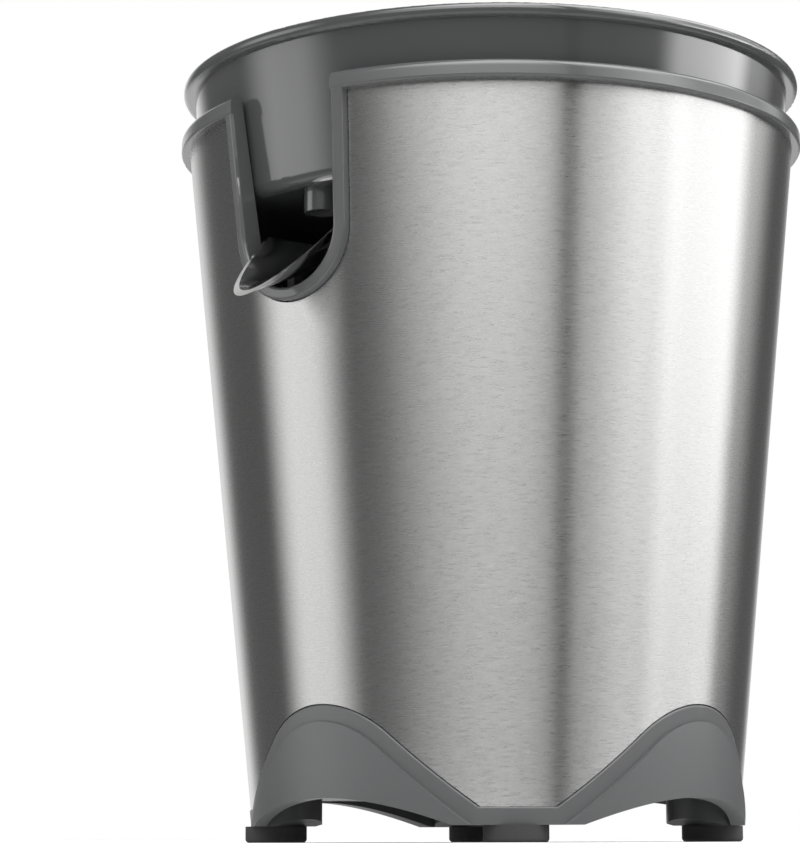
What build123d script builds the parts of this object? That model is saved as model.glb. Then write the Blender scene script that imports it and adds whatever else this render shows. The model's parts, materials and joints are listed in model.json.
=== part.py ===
"""Electric citrus press. Millimetres, +Z up, spout towards -Y, table at z = 0, cone on the Z axis."""

import os
from math import acos, atan2, cos, degrees, hypot, pi, radians, sin, sqrt, tan

from build123d import *

os.makedirs("parts", exist_ok=True)

# Clearances
running_gap = 0.05  # radial, for what turns or slides
seam_gap = 0.3  # between curved faces that only stand near each other
end_gap = 1  # along a shaft, at the ends of what turns
overrun = 6  # how far a cut runs past what it cuts

# Steel sleeve
shell_foot_radius = 69.2
shell_foot_height = 9.2
shell_top_radius = 88
shell_top_height = 198
shell_wall = 0.8

# Collar and the surround of the spout notch
collar_overhang = 2.5  # past the sleeve's top edge
collar_thickness = 4.9
collar_round = 1.9
collar_edge_round = 0.8
surround_proud = 2.3
surround_width = 3.5
surround_edge_round = 0.8
notch_side_gap = 2.5  # between the spout and the notch
notch_flare = 2.3  # how much wider the notch is at the collar
notch_start_share = 0.75  # where the notch's cut starts, as a share of the sleeve's radius

# Bowl
bowl_sink = 22  # bowl's foot below the sleeve's top edge
bowl_foot_inset = 4.3  # bowl inside the line of the sleeve, at its foot
bowl_top_inset = 2.78  # the same under the rim
rim_rise = 15.5  # rim above the collar
rim_overhang = 3.1
rim_thickness = 3.5
rim_round = 1.5
rim_lip_share = 0.5  # inner edge of the rim, as a share of the wall
bowl_wall = 2.2
bowl_floor = 2.5
bowl_foot_round = 4
bowl_gap = 0.6  # between the bowl and what stands round it
ledge_rise = 25.5  # ledge above the bowl's foot
ledge_width = 2.4
nozzle_radius = 5
nozzle_wall = 1.4
nozzle_drop = 6
nozzle_inset = 1  # nozzle inside the round of the bowl's foot
tower_wall = 2
tower_gap = 3  # between the spindle and the tower
tower_rise = 26  # tower above the bowl's foot

# Spout
spout_radius = 14
spout_wall = 0.9
spout_slope = 22  # degrees, the trough's floor
spout_lip_slope = 43  # degrees, the plane of its lips
spout_overhang = 15.1  # tip past the surround
spout_rear_setback = 11.5  # rear wall behind the nozzle
spout_pivot_setback = 7.5  # hinge behind the nozzle
spout_edge_depth = 4.5  # trough at its rear, under its edge
spout_lift = 1.13  # trough above the bottom of the notch
spout_nozzle_gap = 6  # nozzle above the trough's edge
barrel_radius = 3.2
barrel_half_length = 12
barrel_sink = 0.5
saddle_half_width = 8
hinge_pin_radius = 1.5
ear_wall = 2.6
ear_half_width = 5
bracket_wall = 2.4

# Strainer, cone and its bearing
strainer_wall = 1
strainer_drop = 7.5  # floor below the flange
strainer_dish = 7.5  # width of the sloping wall
strainer_flange = 4
strainer_hub_wall = 1.2
strainer_hub_gap = 0.4
strainer_hub_rise = 9
slot_width = 2.2
slot_margin = 6  # between the slots and the sloping wall
slot_spacing = 2  # between the two rings of slots
inner_slot_length = 12
inner_slot_count = 30
outer_slot_length = 13
outer_slot_count = 42
press_travel = 2.5
cone_gap = 1.5  # cone above the strainer when pressed
cone_height = 43
cone_core_radius = 28
cone_core_draw = 6.5  # how far the core has drawn in at the bulge
cone_rib_height = 5.5
cone_bulge_rib_height = 4
cone_skirt_overhang = 2.5
cone_skirt = 2
cone_bulge_share = 0.52  # height of both bulges
cone_tip_radius = 2.5
cone_rib_width = 3.4
cone_rib_count = 10
cone_hub_wall = 3
cone_wall = 4
bush_wall = 2.4
bush_height = 6
socket_wall = 3
socket_roof = 3

# Spindle
spindle_radius = 5
spindle_flat_share = 0.76  # across the flats of both ends, as a share of the diameter
spindle_grip = 14  # length held by the socket
spindle_floor_gap = 7  # above the gearbox floor at rest
spindle_bush_wall = 3
spindle_bush_length = 18
seal_length = 3
clip_width = 2.4
clip_thickness = 1
clip_groove = 0.6

# Cradle
cradle_wall = 1.6
deck_wall = 3
deck_drop = 2.7
pedestal_radius = 31
pedestal_wall = 3
pedestal_roof = 4
pedestal_boss_wall = 4

# Gears
pressure_angle = radians(20)
backlash_gap = 0.12
gear_tip_share = 0.72
gear_root_share = 1.25
pinion_tip_share = 1
pinion_root_share = 1
flank_points = 4
first_tooth_size = 0.8  # module
first_pinion_teeth = 12
first_gear_teeth = 54
second_tooth_size = 1  # module
second_pinion_teeth = 12
second_gear_teeth = 60
first_face = 7
second_face = 10
second_face_room = 3
gear_journal_wall = 2
gear_hub_wall = 2
gear_boss_wall = 2.5
gear_boss_height = 9
gear_rim = 4
gear_recess = 3
idler_pin_radius = 2.5

# Gearbox case
case_wall = 2
case_room = 2.4  # gears to wall
case_plate = 3
case_depth = 32
lug_radius = 5
lug_height = 8
lug_sink = 1
rear_lug_turn = radians(20)
case_screw_radius = 1.9
case_screw_head = 3.2
case_screw_head_height = 2.4
case_screw_bite_length = 7
deck_boss_height = 9

# Motor
rotor_offset = 24
rotor_radius = 16
air_gap = 0.5
stack_share = 0.305  # laminated stack, as a share of the room between gearbox and base
end_ring_share = 0.92  # end rings' radius, as a share of the rotor's
end_ring_height_share = 0.333  # their height, as a share of the brackets' rise
rotor_shaft_radius = 3
motor_gap = 6  # between the upper bracket and the gearbox
stator_side = 12  # past the rotor, at each side
stator_yoke = 3  # past the rotor, at the rear
stator_front = 33
stator_leg = 15
window_side = 11  # between the window and the stator's side
window_depth = 17
coil_build = 9.4
coil_round = 3
bobbin_wall = 0.9
bobbin_flange = 1.2
bracket_leg = 8
bracket_rise_share = 0.1055  # bracket legs, as a share of the same room
bracket_plate = 3
motor_bush_wall = 3
motor_bush_length = 8
motor_bolt_radius = 1.8
motor_bolt_head = 3.4
motor_bolt_head_height = 2.2
rear_bolt_setback = 11
front_bolt_inset = 6.5
front_bolt_setback = 9
spacer_wall = 1.6
fan_overhang = 9  # past the rotor
fan_hub_radius = 6
fan_height_share = 0.082  # fan, as a share of the same room
fan_blade = 1.4
fan_blade_count = 7
fan_pitch = 32  # degrees
fan_gap = 5  # between the fan and the lower bracket

# Switch and return spring
switch_length = 20
switch_width = 6.4
switch_height = 10
switch_pin_radius = 1.5
switch_pin_dip = 1.5
spring_radius = 3.3
spring_wire = 0.45
spring_turn_rise = 2

# Base
foot_height = 4.5
foot_radius = 8.65
foot_inset = 7.2  # centres of the feet inside the sleeve's foot
foot_round = 1
foot_stem_radius = 4
foot_stem_length = 5
foot_count = 4
foot_turn = 45  # degrees
pod_radius = 13
hump_apex = 36.2
hump_crown_share = 0.442  # crown's radius, as a share of the sleeve's foot radius
hump_half_share = 0.594  # half width of a hump, as a share of the same radius
band_proud = 0.3
band_edge_round = 0.5
band_width = 4.4
panel_foot_proud = 1.6
panel_mid_proud = 1.4
panel_top_proud = 0.6
skirt_wall = 2.5
base_floor_height = 12.2
base_floor = 2.5
spigot_wall = 1.8
spigot_rise = 8
arch_apex = 11.7
arch_half_share = 0.52  # half width of an arch, as a share of the same radius
vent_circle = 24
vent_length = 18
vent_width = 3
vent_count = 12
clamp_inset = 11  # centres of the screws inside the sleeve's foot
clamp_count = 4
clamp_radius = 2
clamp_head_radius = 4
clamp_head_height = 2.6
clamp_well = 5.2  # depth of the wells that hold the heads
clamp_well_wall = 2
clamp_bite_length = 14
clamp_boss_radius = 4
clamp_boss_length = 18

# Cord gland
gland_height = 20
gland_radius = 5.6
gland_bore_radius = 3.4
gland_flange_radius = 8
gland_flange = 1.8
gland_tail = 2


# Shapes used by more than one piece
def shell_radius(z):
    """Outside radius of the sleeve at the height z."""
    rise = (z - shell_foot_height) / (shell_top_height - shell_foot_height)
    return shell_foot_radius + (shell_top_radius - shell_foot_radius) * rise


def bowl_radius(z):
    """Outside radius of the bowl's wall at the height z."""
    rise = (z - bowl_foot_height) / (rim_height - rim_thickness - bowl_foot_height)
    return bowl_foot_radius + (bowl_top_radius - bowl_foot_radius) * rise


def touch_angle(across, up, radius, side):
    """Angle on a circle about zero where a line from (across, up) touches it, above (1) or below (-1)."""
    return atan2(up, across) + side * acos(radius / hypot(across, up))


def notch_tool(grow):
    """Prism through the front wall, shaped like the spout notch widened by grow."""
    radius = notch_radius + grow
    angle = touch_angle(notch_top_half_width, collar_top - notch_arc_height, notch_radius, -1)
    side_x = radius * cos(angle)
    side_z = notch_arc_height + radius * sin(angle)
    top_z = collar_top + overrun
    top_x = side_x - (top_z - side_z) * tan(angle)
    with BuildPart() as tool:
        with BuildSketch(Plane.XZ.offset(notch_start_share * shell_radius(notch_bottom))):
            with BuildLine():
                Polyline((side_x, side_z), (top_x, top_z), (-top_x, top_z), (-side_x, side_z))
                ThreePointArc((-side_x, side_z), (0, notch_arc_height - radius), (side_x, side_z))
            make_face()
        extrude(amount=collar_radius)
    return tool.part


def hump_tool(grow, low):
    """Two crossed prisms under the humps' outline moved out by grow, down to the height low."""
    centre = hump_apex - hump_crown_radius
    angle = touch_angle(hump_half_width, shell_foot_height - centre, hump_crown_radius, 1)
    crown = hump_crown_radius + grow
    side_x = crown * cos(angle)
    side_z = centre + crown * sin(angle)
    low_x = side_x + (side_z - low) * tan(angle)
    with BuildPart() as tool:
        for plane in (Plane.XZ, Plane.YZ):
            with BuildSketch(plane):
                with BuildLine():
                    Polyline((side_x, side_z), (low_x, low), (-low_x, low), (-side_x, side_z))
                    ThreePointArc((-side_x, side_z), (0, centre + crown), (side_x, side_z))
                make_face()
            extrude(amount=collar_radius, both=True)
    return tool.part


def gear_outline(module, teeth, tip_share, root_share, turn):
    """Corners of a spur gear with involute flanks, one tooth centred on the angle turn."""
    pitch = module * teeth / 2
    base_circle = pitch * cos(pressure_angle)
    root = pitch - module * root_share
    tip = pitch + module * tip_share
    low = max(root, base_circle)
    half = (pi * module / 2 - backlash_gap) / (2 * pitch) + tan(pressure_angle) - pressure_angle
    flank = []
    for i in range(flank_points):
        r = low + (tip - low) * i / (flank_points - 1)
        roll = acos(base_circle / r)
        flank.append((r, half - tan(roll) + roll))
    if root < low:
        flank.insert(0, (root, flank[0][1]))
    corners = []
    for n in range(teeth):
        middle = turn + 2 * pi * n / teeth
        sides = [(r, middle - a) for r, a in flank] + [(r, middle + a) for r, a in reversed(flank)]
        corners += [(r * cos(a), r * sin(a)) for r, a in sides]
    return corners


# Heights and places that follow from the sizes
collar_radius = shell_top_radius + collar_overhang
collar_top = shell_top_height + collar_thickness
rim_height = collar_top + rim_rise
rim_foot = rim_height - rim_thickness
bowl_foot_height = shell_top_height - bowl_sink
bowl_foot_radius = shell_radius(bowl_foot_height) - bowl_foot_inset
bowl_top_radius = shell_radius(rim_foot) - bowl_top_inset
rim_radius = bowl_top_radius + rim_overhang
bowl_inner_floor = bowl_foot_height + bowl_floor
ledge_height = bowl_foot_height + ledge_rise
nozzle_foot = bowl_foot_height - nozzle_drop
nozzle_reach = bowl_foot_radius - bowl_foot_round - nozzle_radius - nozzle_inset
tower_inner = spindle_radius + tower_gap
tower_outer = tower_inner + tower_wall
tower_height = bowl_foot_height + tower_rise

slope = radians(spout_slope)
lip_slope = radians(spout_lip_slope)
spout_edge_height = nozzle_foot - spout_nozzle_gap
spout_rear_reach = nozzle_reach - spout_rear_setback
spout_pivot_reach = nozzle_reach - spout_pivot_setback
spout_wall_reach = shell_radius(spout_edge_height) + surround_proud
spout_tip_reach = spout_wall_reach + spout_overhang
rear_height = spout_edge_height - spout_edge_depth
tip_height = rear_height - (spout_tip_reach - spout_rear_reach) * tan(slope)
spout_axis_height = rear_height + spout_radius / cos(slope)
pivot_height = tip_height + (spout_tip_reach - spout_pivot_reach) * tan(slope) - barrel_radius + barrel_sink
notch_bottom = rear_height - (spout_wall_reach - spout_rear_reach) * tan(slope) - spout_lift
notch_radius = spout_radius + notch_side_gap
notch_arc_height = notch_bottom + notch_radius
notch_top_half_width = notch_radius + notch_flare
deck_top = notch_bottom - surround_width - seam_gap - deck_drop
deck_foot = deck_top - deck_wall
ear_inner = barrel_half_length + end_gap

strainer_floor_height = ledge_height - strainer_drop
strainer_top = strainer_floor_height + strainer_wall
strainer_hub_height = strainer_floor_height + strainer_hub_rise
flange_outer = bowl_radius(ledge_height) - bowl_wall - seam_gap
flange_inner = flange_outer - strainer_flange
strainer_floor_radius = flange_inner - strainer_dish
outer_slot_circle = strainer_floor_radius - slot_margin - outer_slot_length / 2
inner_slot_circle = outer_slot_circle - (outer_slot_length + inner_slot_length) / 2 - slot_spacing
strainer_hub_inner = tower_outer + strainer_hub_gap
strainer_hub_outer = strainer_hub_inner + strainer_hub_wall
bush_inner = strainer_hub_outer + running_gap
bush_outer = bush_inner + bush_wall
bush_foot = strainer_top + press_travel + end_gap
bush_top = bush_foot + bush_height
cone_foot = strainer_top + press_travel + cone_gap
cone_bore = bush_outer + running_gap
cone_bore_top = max(bush_top, strainer_hub_height + press_travel, tower_height + press_travel) + end_gap
cone_tip = cone_foot + cone_height
cone_core_bulge = cone_core_radius - cone_core_draw
cone_rib_radius = cone_core_radius + cone_rib_height
cone_rib_bulge = cone_core_bulge + cone_bulge_rib_height
cone_skirt_radius = cone_rib_radius + cone_skirt_overhang
socket_radius = spindle_radius + socket_wall
spindle_flat = 2 * spindle_radius * spindle_flat_share
spindle_top = cone_bore_top + spindle_grip
socket_top = spindle_top + socket_roof

cover_foot = deck_foot - case_plate
case_floor = cover_foot - case_depth
case_foot = case_floor - case_plate
spindle_foot = case_floor + spindle_floor_gap
bush_seat_top = bowl_foot_height - seal_length
spindle_bush_foot = bush_seat_top - spindle_bush_length
spindle_bush_radius = spindle_radius + spindle_bush_wall
clip_foot = spindle_bush_foot - clip_thickness
clip_radius = spindle_radius + clip_width
pedestal_boss_radius = spindle_bush_radius + pedestal_boss_wall
gear_journal_radius = spindle_radius + gear_journal_wall
gear_hub_radius = gear_journal_radius + gear_hub_wall

first_distance = first_tooth_size * (first_pinion_teeth + first_gear_teeth) / 2
second_distance = second_tooth_size * (second_pinion_teeth + second_gear_teeth) / 2
idler_y = (second_distance**2 - first_distance**2 + rotor_offset**2) / (2 * rotor_offset)
idler_x = sqrt(second_distance**2 - idler_y**2)
idler_angle = atan2(idler_y, idler_x)
motor_angle = atan2(rotor_offset - idler_y, -idler_x)
output_tip = second_tooth_size * (second_gear_teeth / 2 + gear_tip_share)
idler_tip = first_tooth_size * (first_gear_teeth / 2 + gear_tip_share)
first_foot = case_floor + 2 * end_gap
first_top = first_foot + first_face
second_foot = first_top + second_face_room + end_gap
second_top = second_foot + second_face
idler_top = second_top + end_gap
output_case_radius = output_tip + case_room
idler_case_radius = idler_tip + case_room
lug_reach = output_case_radius + case_wall + lug_radius - lug_sink
flank_reach = lug_reach - (output_case_radius - idler_case_radius) / 2
lug_places = []
for side in (-1, 1):
    flank_angle = idler_angle + side * acos((output_case_radius - idler_case_radius) / second_distance)
    flank_x = idler_x / 2 + flank_reach * cos(flank_angle)
    flank_y = idler_y / 2 + flank_reach * sin(flank_angle)
    rear_angle = idler_angle + pi + side * rear_lug_turn
    lug_places.append((flank_x, flank_y))
    lug_places.append((lug_reach * cos(rear_angle), lug_reach * sin(rear_angle)))

base_floor_top = base_floor_height + base_floor
motor_room = case_foot - base_floor_top
stack_height = stack_share * motor_room
bracket_rise = bracket_rise_share * motor_room
end_ring_height = end_ring_height_share * bracket_rise
fan_height = fan_height_share * motor_room
motor_drop = bracket_rise + bracket_plate + motor_gap
shaft_tail = fan_height + fan_gap
fan_radius = rotor_radius + fan_overhang
stator_half_width = rotor_radius + stator_side
stator_rear = rotor_offset + rotor_radius + stator_yoke
window_half_width = stator_half_width - window_side
front_bolt_x = stator_half_width - front_bolt_inset
front_bolt_reach = stator_front - front_bolt_setback
stack_top = case_foot - motor_drop
stack_foot = stack_top - stack_height
upper_plate_foot = stack_top + bracket_rise
lower_plate_top = stack_foot - bracket_rise
shaft_foot = lower_plate_top - bracket_plate - shaft_tail
window_front = stator_leg - stator_front
leg_middle = stator_leg / 2 - stator_front
leg_half = stator_leg / 2 + seam_gap
stack_half = stack_height / 2 + seam_gap
stack_middle = (stack_top + stack_foot) / 2
coil_half_length = window_half_width - seam_gap - bobbin_flange
bracket_leg_x = stator_half_width - bracket_leg / 2
bracket_front = rotor_offset - rear_bolt_setback - bracket_leg / 2
bracket_depth = rear_bolt_setback + bracket_leg + bracket_leg / 2
bracket_middle = bracket_front + bracket_depth / 2
motor_bolt_places = [(side * bracket_leg_x, rotor_offset - rear_bolt_setback) for side in (-1, 1)]
motor_bolt_places += [(side * front_bolt_x, -front_bolt_reach) for side in (-1, 1)]

foot_circle = shell_foot_radius - foot_inset
clamp_circle = shell_foot_radius - clamp_inset
clamp_seat = base_floor_height + clamp_well
hump_crown_radius = hump_crown_share * shell_foot_radius
hump_half_width = hump_half_share * shell_foot_radius
arch_half_width = arch_half_share * shell_foot_radius
spigot_top = hump_apex + spigot_rise
panel_mid = (foot_height + hump_apex) / 2
panel_mid_radius = shell_radius(panel_mid) + panel_mid_proud

steel_notch = notch_tool(surround_width + seam_gap)
surround_outline = notch_tool(surround_width)
notch_opening = notch_tool(0)
steel_wave = hump_tool(seam_gap, foot_height)
base_wave = hump_tool(0, foot_height)
panel_wave = hump_tool(-band_width, foot_height)

# Steel sleeve
with BuildPart() as steel_shell:
    with BuildSketch(Plane.XZ):
        Polygon(
            (shell_foot_radius - shell_wall, shell_foot_height),
            (shell_foot_radius, shell_foot_height),
            (shell_top_radius, shell_top_height),
            (shell_top_radius - shell_wall, shell_top_height),
            align=None,
        )
    revolve(axis=Axis.Z)
    add(steel_wave, mode=Mode.SUBTRACT)
    add(steel_notch, mode=Mode.SUBTRACT)
steel_shell.part.label = "steel_shell"
export_step(steel_shell.part, "parts/steel_shell.step")

# Surround of the notch, part of the collar
with BuildPart() as surround:
    with BuildSketch(Plane.XZ):
        Polygon(
            (bowl_radius(deck_top) + bowl_gap, deck_top),
            (shell_radius(deck_top) + surround_proud, deck_top),
            (shell_radius(shell_top_height) + surround_proud, shell_top_height),
            (shell_radius(shell_top_height) + surround_proud, collar_top - collar_round),
            (bowl_radius(collar_top) + bowl_gap, collar_top - collar_round),
            align=None,
        )
    revolve(axis=Axis.Z)
    add(surround_outline, mode=Mode.INTERSECT)
    add(notch_opening, mode=Mode.SUBTRACT)
    front_edges = []
    for edge in surround.edges():
        middle = edge.position_at(0.5)
        front_reach = shell_radius(min(middle.Z, shell_top_height)) + surround_proud
        if hypot(middle.X, middle.Y) > front_reach - seam_gap and edge.length > collar_thickness:
            front_edges.append(edge)
    fillet(front_edges, surround_edge_round)

# Collar
with BuildPart() as top_collar:
    with BuildSketch(Plane.XZ) as collar_profile:
        collar_inner = bowl_radius(collar_top) + bowl_gap
        collar_middle = (collar_inner + collar_radius) / 2
        with Locations((collar_middle, (shell_top_height + collar_top) / 2)):
            Rectangle(collar_radius - collar_inner, collar_thickness)
        fillet(collar_profile.vertices().group_by(Axis.Y)[-1], collar_round)
        fillet(collar_profile.vertices().group_by(Axis.Y)[0].sort_by(Axis.X)[-1], collar_edge_round)
    revolve(axis=Axis.Z)
    add(surround.part)
    add(notch_opening, mode=Mode.SUBTRACT)
top_collar.part.label = "top_collar"
export_step(top_collar.part, "parts/top_collar.step")

# Bowl with its rim, nozzle and tower
with BuildPart() as juice_bowl:
    with BuildSketch(Plane.XZ) as bowl_profile:
        ledge_outer = bowl_radius(ledge_height) - bowl_wall
        ledge_inner = ledge_outer - ledge_width
        floor_inner = bowl_radius(bowl_inner_floor) - bowl_wall - ledge_width
        Polygon(
            (tower_inner, bowl_foot_height),
            (bowl_foot_radius, bowl_foot_height),
            (bowl_top_radius, rim_foot),
            (rim_radius, rim_foot),
            (rim_radius, rim_height),
            (bowl_top_radius - bowl_wall * rim_lip_share, rim_height),
            (bowl_radius(rim_foot) - bowl_wall, rim_foot),
            (ledge_outer, ledge_height),
            (ledge_inner, ledge_height),
            (floor_inner, bowl_inner_floor),
            (tower_outer, bowl_inner_floor),
            (tower_outer, tower_height),
            (tower_inner, tower_height),
            align=None,
        )
        fillet(bowl_profile.vertices().sort_by(Axis.X)[-2:], rim_round)
        foot_corner = bowl_profile.vertices().group_by(Axis.Y)[0].sort_by(Axis.X)[-1]
        fillet(foot_corner, bowl_foot_round)
    revolve(axis=Axis.Z)
    with BuildSketch(Plane.XY.offset(nozzle_foot)):
        with Locations((0, -nozzle_reach)):
            Circle(nozzle_radius)
    extrude(amount=nozzle_drop + bowl_floor)
    with BuildSketch(Plane.XY.offset(nozzle_foot - overrun)):
        with Locations((0, -nozzle_reach)):
            Circle(nozzle_radius - nozzle_wall)
    extrude(amount=nozzle_drop + bowl_floor + overrun + overrun, mode=Mode.SUBTRACT)
juice_bowl.part.label = "juice_bowl"
export_step(juice_bowl.part, "parts/juice_bowl.step")

# Strainer
with BuildPart() as strainer:
    with BuildSketch(Plane.XZ):
        Polygon(
            (flange_outer, ledge_height),
            (flange_outer, ledge_height + strainer_wall),
            (flange_inner, ledge_height + strainer_wall),
            (strainer_floor_radius, strainer_top),
            (strainer_hub_outer, strainer_top),
            (strainer_hub_outer, strainer_hub_height),
            (strainer_hub_inner, strainer_hub_height),
            (strainer_hub_inner, strainer_floor_height),
            (strainer_floor_radius, strainer_floor_height),
            (flange_inner, ledge_height),
            align=None,
        )
    revolve(axis=Axis.Z)
    with BuildSketch(Plane.XY.offset(strainer_floor_height - overrun)):
        with PolarLocations(inner_slot_circle, inner_slot_count):
            SlotOverall(inner_slot_length, slot_width)
        with PolarLocations(outer_slot_circle, outer_slot_count):
            SlotOverall(outer_slot_length, slot_width)
    extrude(amount=strainer_wall + overrun + overrun, mode=Mode.SUBTRACT)
strainer.part.label = "strainer"
export_step(strainer.part, "parts/strainer.step")

# Bearing that the cone turns on
with BuildPart() as cone_bush:
    with BuildSketch(Plane.XY.offset(bush_foot)):
        Circle(bush_outer)
        Circle(bush_inner, mode=Mode.SUBTRACT)
    extrude(amount=bush_height)
cone_bush.part.label = "cone_bush"
export_step(cone_bush.part, "parts/cone_bush.step")

# Ribbed cone
with BuildPart() as cone:
    bulge_height = cone_foot + cone_height * cone_bulge_share
    with BuildSketch(Plane.XZ):
        with BuildLine():
            ThreePointArc(
                (cone_core_radius, cone_foot + cone_skirt),
                (cone_core_bulge, bulge_height),
                (cone_tip_radius, cone_tip - cone_tip_radius),
            )
            Polyline(
                (cone_tip_radius, cone_tip - cone_tip_radius),
                (0, cone_tip - cone_tip_radius),
                (0, cone_foot),
                (cone_skirt_radius, cone_foot),
                (cone_skirt_radius, cone_foot + cone_skirt),
                (cone_core_radius, cone_foot + cone_skirt),
            )
        make_face()
    revolve(axis=Axis.Z)
    for rib in range(cone_rib_count):
        with BuildSketch(Plane.XZ.rotated((0, 0, rib * 360 / cone_rib_count))):
            with BuildLine():
                ThreePointArc(
                    (cone_rib_radius, cone_foot + cone_skirt),
                    (cone_rib_bulge, bulge_height),
                    (cone_tip_radius, cone_tip),
                )
                Polyline(
                    (cone_tip_radius, cone_tip),
                    (0, cone_tip),
                    (0, cone_foot + cone_skirt),
                    (cone_rib_radius, cone_foot + cone_skirt),
                )
            make_face()
        extrude(amount=cone_rib_width / 2, both=True)
    with BuildSketch(Plane.XY.offset(cone_foot)):
        Circle(cone_bore)
    extrude(amount=cone_bore_top - cone_foot, mode=Mode.SUBTRACT)
    with BuildSketch(Plane.XY.offset(cone_foot)):
        Circle(socket_radius + running_gap)
    extrude(amount=socket_top - cone_foot, mode=Mode.SUBTRACT)
    with BuildSketch(Plane.XZ):
        hub_outer = cone_bore + cone_hub_wall
        Polygon(
            (hub_outer, cone_foot),
            (cone_core_radius - cone_wall, cone_foot),
            (hub_outer, bulge_height - cone_wall),
            align=None,
        )
    revolve(axis=Axis.Z, mode=Mode.SUBTRACT)
cone.part.label = "cone"
export_step(cone.part, "parts/cone.step")

# Drive insert of the cone
with BuildPart() as cone_socket:
    with BuildSketch(Plane.XY.offset(cone_bore_top)):
        Circle(socket_radius)
    extrude(amount=socket_top - cone_bore_top)
    with BuildSketch(Plane.XY.offset(cone_bore_top)):
        Circle(spindle_radius + running_gap)
        Rectangle(4 * spindle_radius, spindle_flat + 2 * running_gap, mode=Mode.INTERSECT)
    extrude(amount=spindle_grip, mode=Mode.SUBTRACT)
cone_socket.part.label = "cone_socket"
export_step(cone_socket.part, "parts/cone_socket.step")

# Spindle
with BuildPart() as spindle:
    with BuildSketch(Plane.XY.offset(spindle_foot)):
        Circle(spindle_radius)
    extrude(amount=spindle_top - spindle_foot)
    lower_flat = (spindle_foot, cover_foot + press_travel)
    upper_flat = (cone_bore_top - press_travel, spindle_top)
    for flat_foot, flat_top in (lower_flat, upper_flat):
        with BuildSketch(Plane.XY.offset(flat_foot)):
            Circle(spindle_radius + overrun)
            Rectangle(4 * spindle_radius + 2 * overrun, spindle_flat, mode=Mode.SUBTRACT)
        extrude(amount=flat_top - flat_foot, mode=Mode.SUBTRACT)
    with BuildSketch(Plane.XY.offset(clip_foot)):
        Circle(spindle_radius + overrun)
        Circle(spindle_radius - clip_groove, mode=Mode.SUBTRACT)
    extrude(amount=clip_thickness, mode=Mode.SUBTRACT)
spindle.part.label = "spindle"
export_step(spindle.part, "parts/spindle.step")

# Clip that stops the spindle under its bush
with BuildPart() as spindle_clip:
    with BuildSketch(Plane.XY.offset(clip_foot)):
        Circle(clip_radius)
        Circle(spindle_radius - clip_groove + running_gap, mode=Mode.SUBTRACT)
        with Locations((0, -clip_radius)):
            Rectangle(spindle_radius, 2 * clip_radius, mode=Mode.SUBTRACT)
    extrude(amount=clip_thickness)
spindle_clip.part.label = "spindle_clip"
export_step(spindle_clip.part, "parts/spindle_clip.step")

# Bush and seal of the spindle
with BuildPart() as spindle_bush:
    with BuildSketch(Plane.XY.offset(spindle_bush_foot)):
        Circle(spindle_bush_radius)
        Circle(spindle_radius + running_gap, mode=Mode.SUBTRACT)
    extrude(amount=spindle_bush_length)
spindle_bush.part.label = "spindle_bush"
export_step(spindle_bush.part, "parts/spindle_bush.step")

with BuildPart() as spindle_seal:
    with BuildSketch(Plane.XY.offset(bush_seat_top)):
        Circle(spindle_bush_radius)
        Circle(spindle_radius + running_gap, mode=Mode.SUBTRACT)
    extrude(amount=seal_length)
spindle_seal.part.label = "spindle_seal"
export_step(spindle_seal.part, "parts/spindle_seal.step")

# Cradle: wall, deck and pedestal
with BuildPart() as bowl_cradle:
    with BuildSketch(Plane.XZ):
        cradle_inset = shell_wall + seam_gap
        cradle_inner_inset = cradle_inset + cradle_wall
        pedestal_inner = pedestal_radius - pedestal_wall
        bush_seat = spindle_bush_radius + running_gap
        Polygon(
            (bush_seat, bowl_foot_height),
            (bush_seat, spindle_bush_foot + end_gap),
            (pedestal_boss_radius, spindle_bush_foot + end_gap),
            (pedestal_boss_radius, bowl_foot_height - pedestal_roof),
            (pedestal_inner, bowl_foot_height - pedestal_roof),
            (pedestal_inner, deck_top),
            (spindle_bush_radius, deck_top),
            (spindle_bush_radius, deck_foot),
            (shell_radius(deck_foot) - cradle_inset, deck_foot),
            (shell_radius(shell_top_height) - cradle_inset, shell_top_height),
            (shell_radius(shell_top_height) - cradle_inner_inset, shell_top_height),
            (shell_radius(deck_top) - cradle_inner_inset, deck_top),
            (pedestal_radius, deck_top),
            (pedestal_radius, bowl_foot_height),
            align=None,
        )
    revolve(axis=Axis.Z)
    add(steel_notch, mode=Mode.SUBTRACT)
    with BuildSketch(Plane.XY.offset(deck_top)):
        with Locations(*lug_places):
            Circle(lug_radius)
    extrude(amount=deck_boss_height - deck_wall)
    with BuildSketch(Plane.XY.offset(deck_foot - clamp_boss_length)):
        with PolarLocations(clamp_circle, clamp_count):
            Circle(clamp_boss_radius)
    extrude(amount=clamp_boss_length)
    with BuildSketch(Plane.XY.offset(deck_foot)):
        with Locations(*lug_places):
            Circle(case_screw_radius + running_gap)
    extrude(amount=case_screw_bite_length, mode=Mode.SUBTRACT)
    with BuildSketch(Plane.XY.offset(deck_foot - clamp_boss_length)):
        with PolarLocations(clamp_circle, clamp_count):
            Circle(clamp_radius + running_gap)
    extrude(amount=clamp_bite_length, mode=Mode.SUBTRACT)
bowl_cradle.part.label = "bowl_cradle"
export_step(bowl_cradle.part, "parts/bowl_cradle.step")

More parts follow.
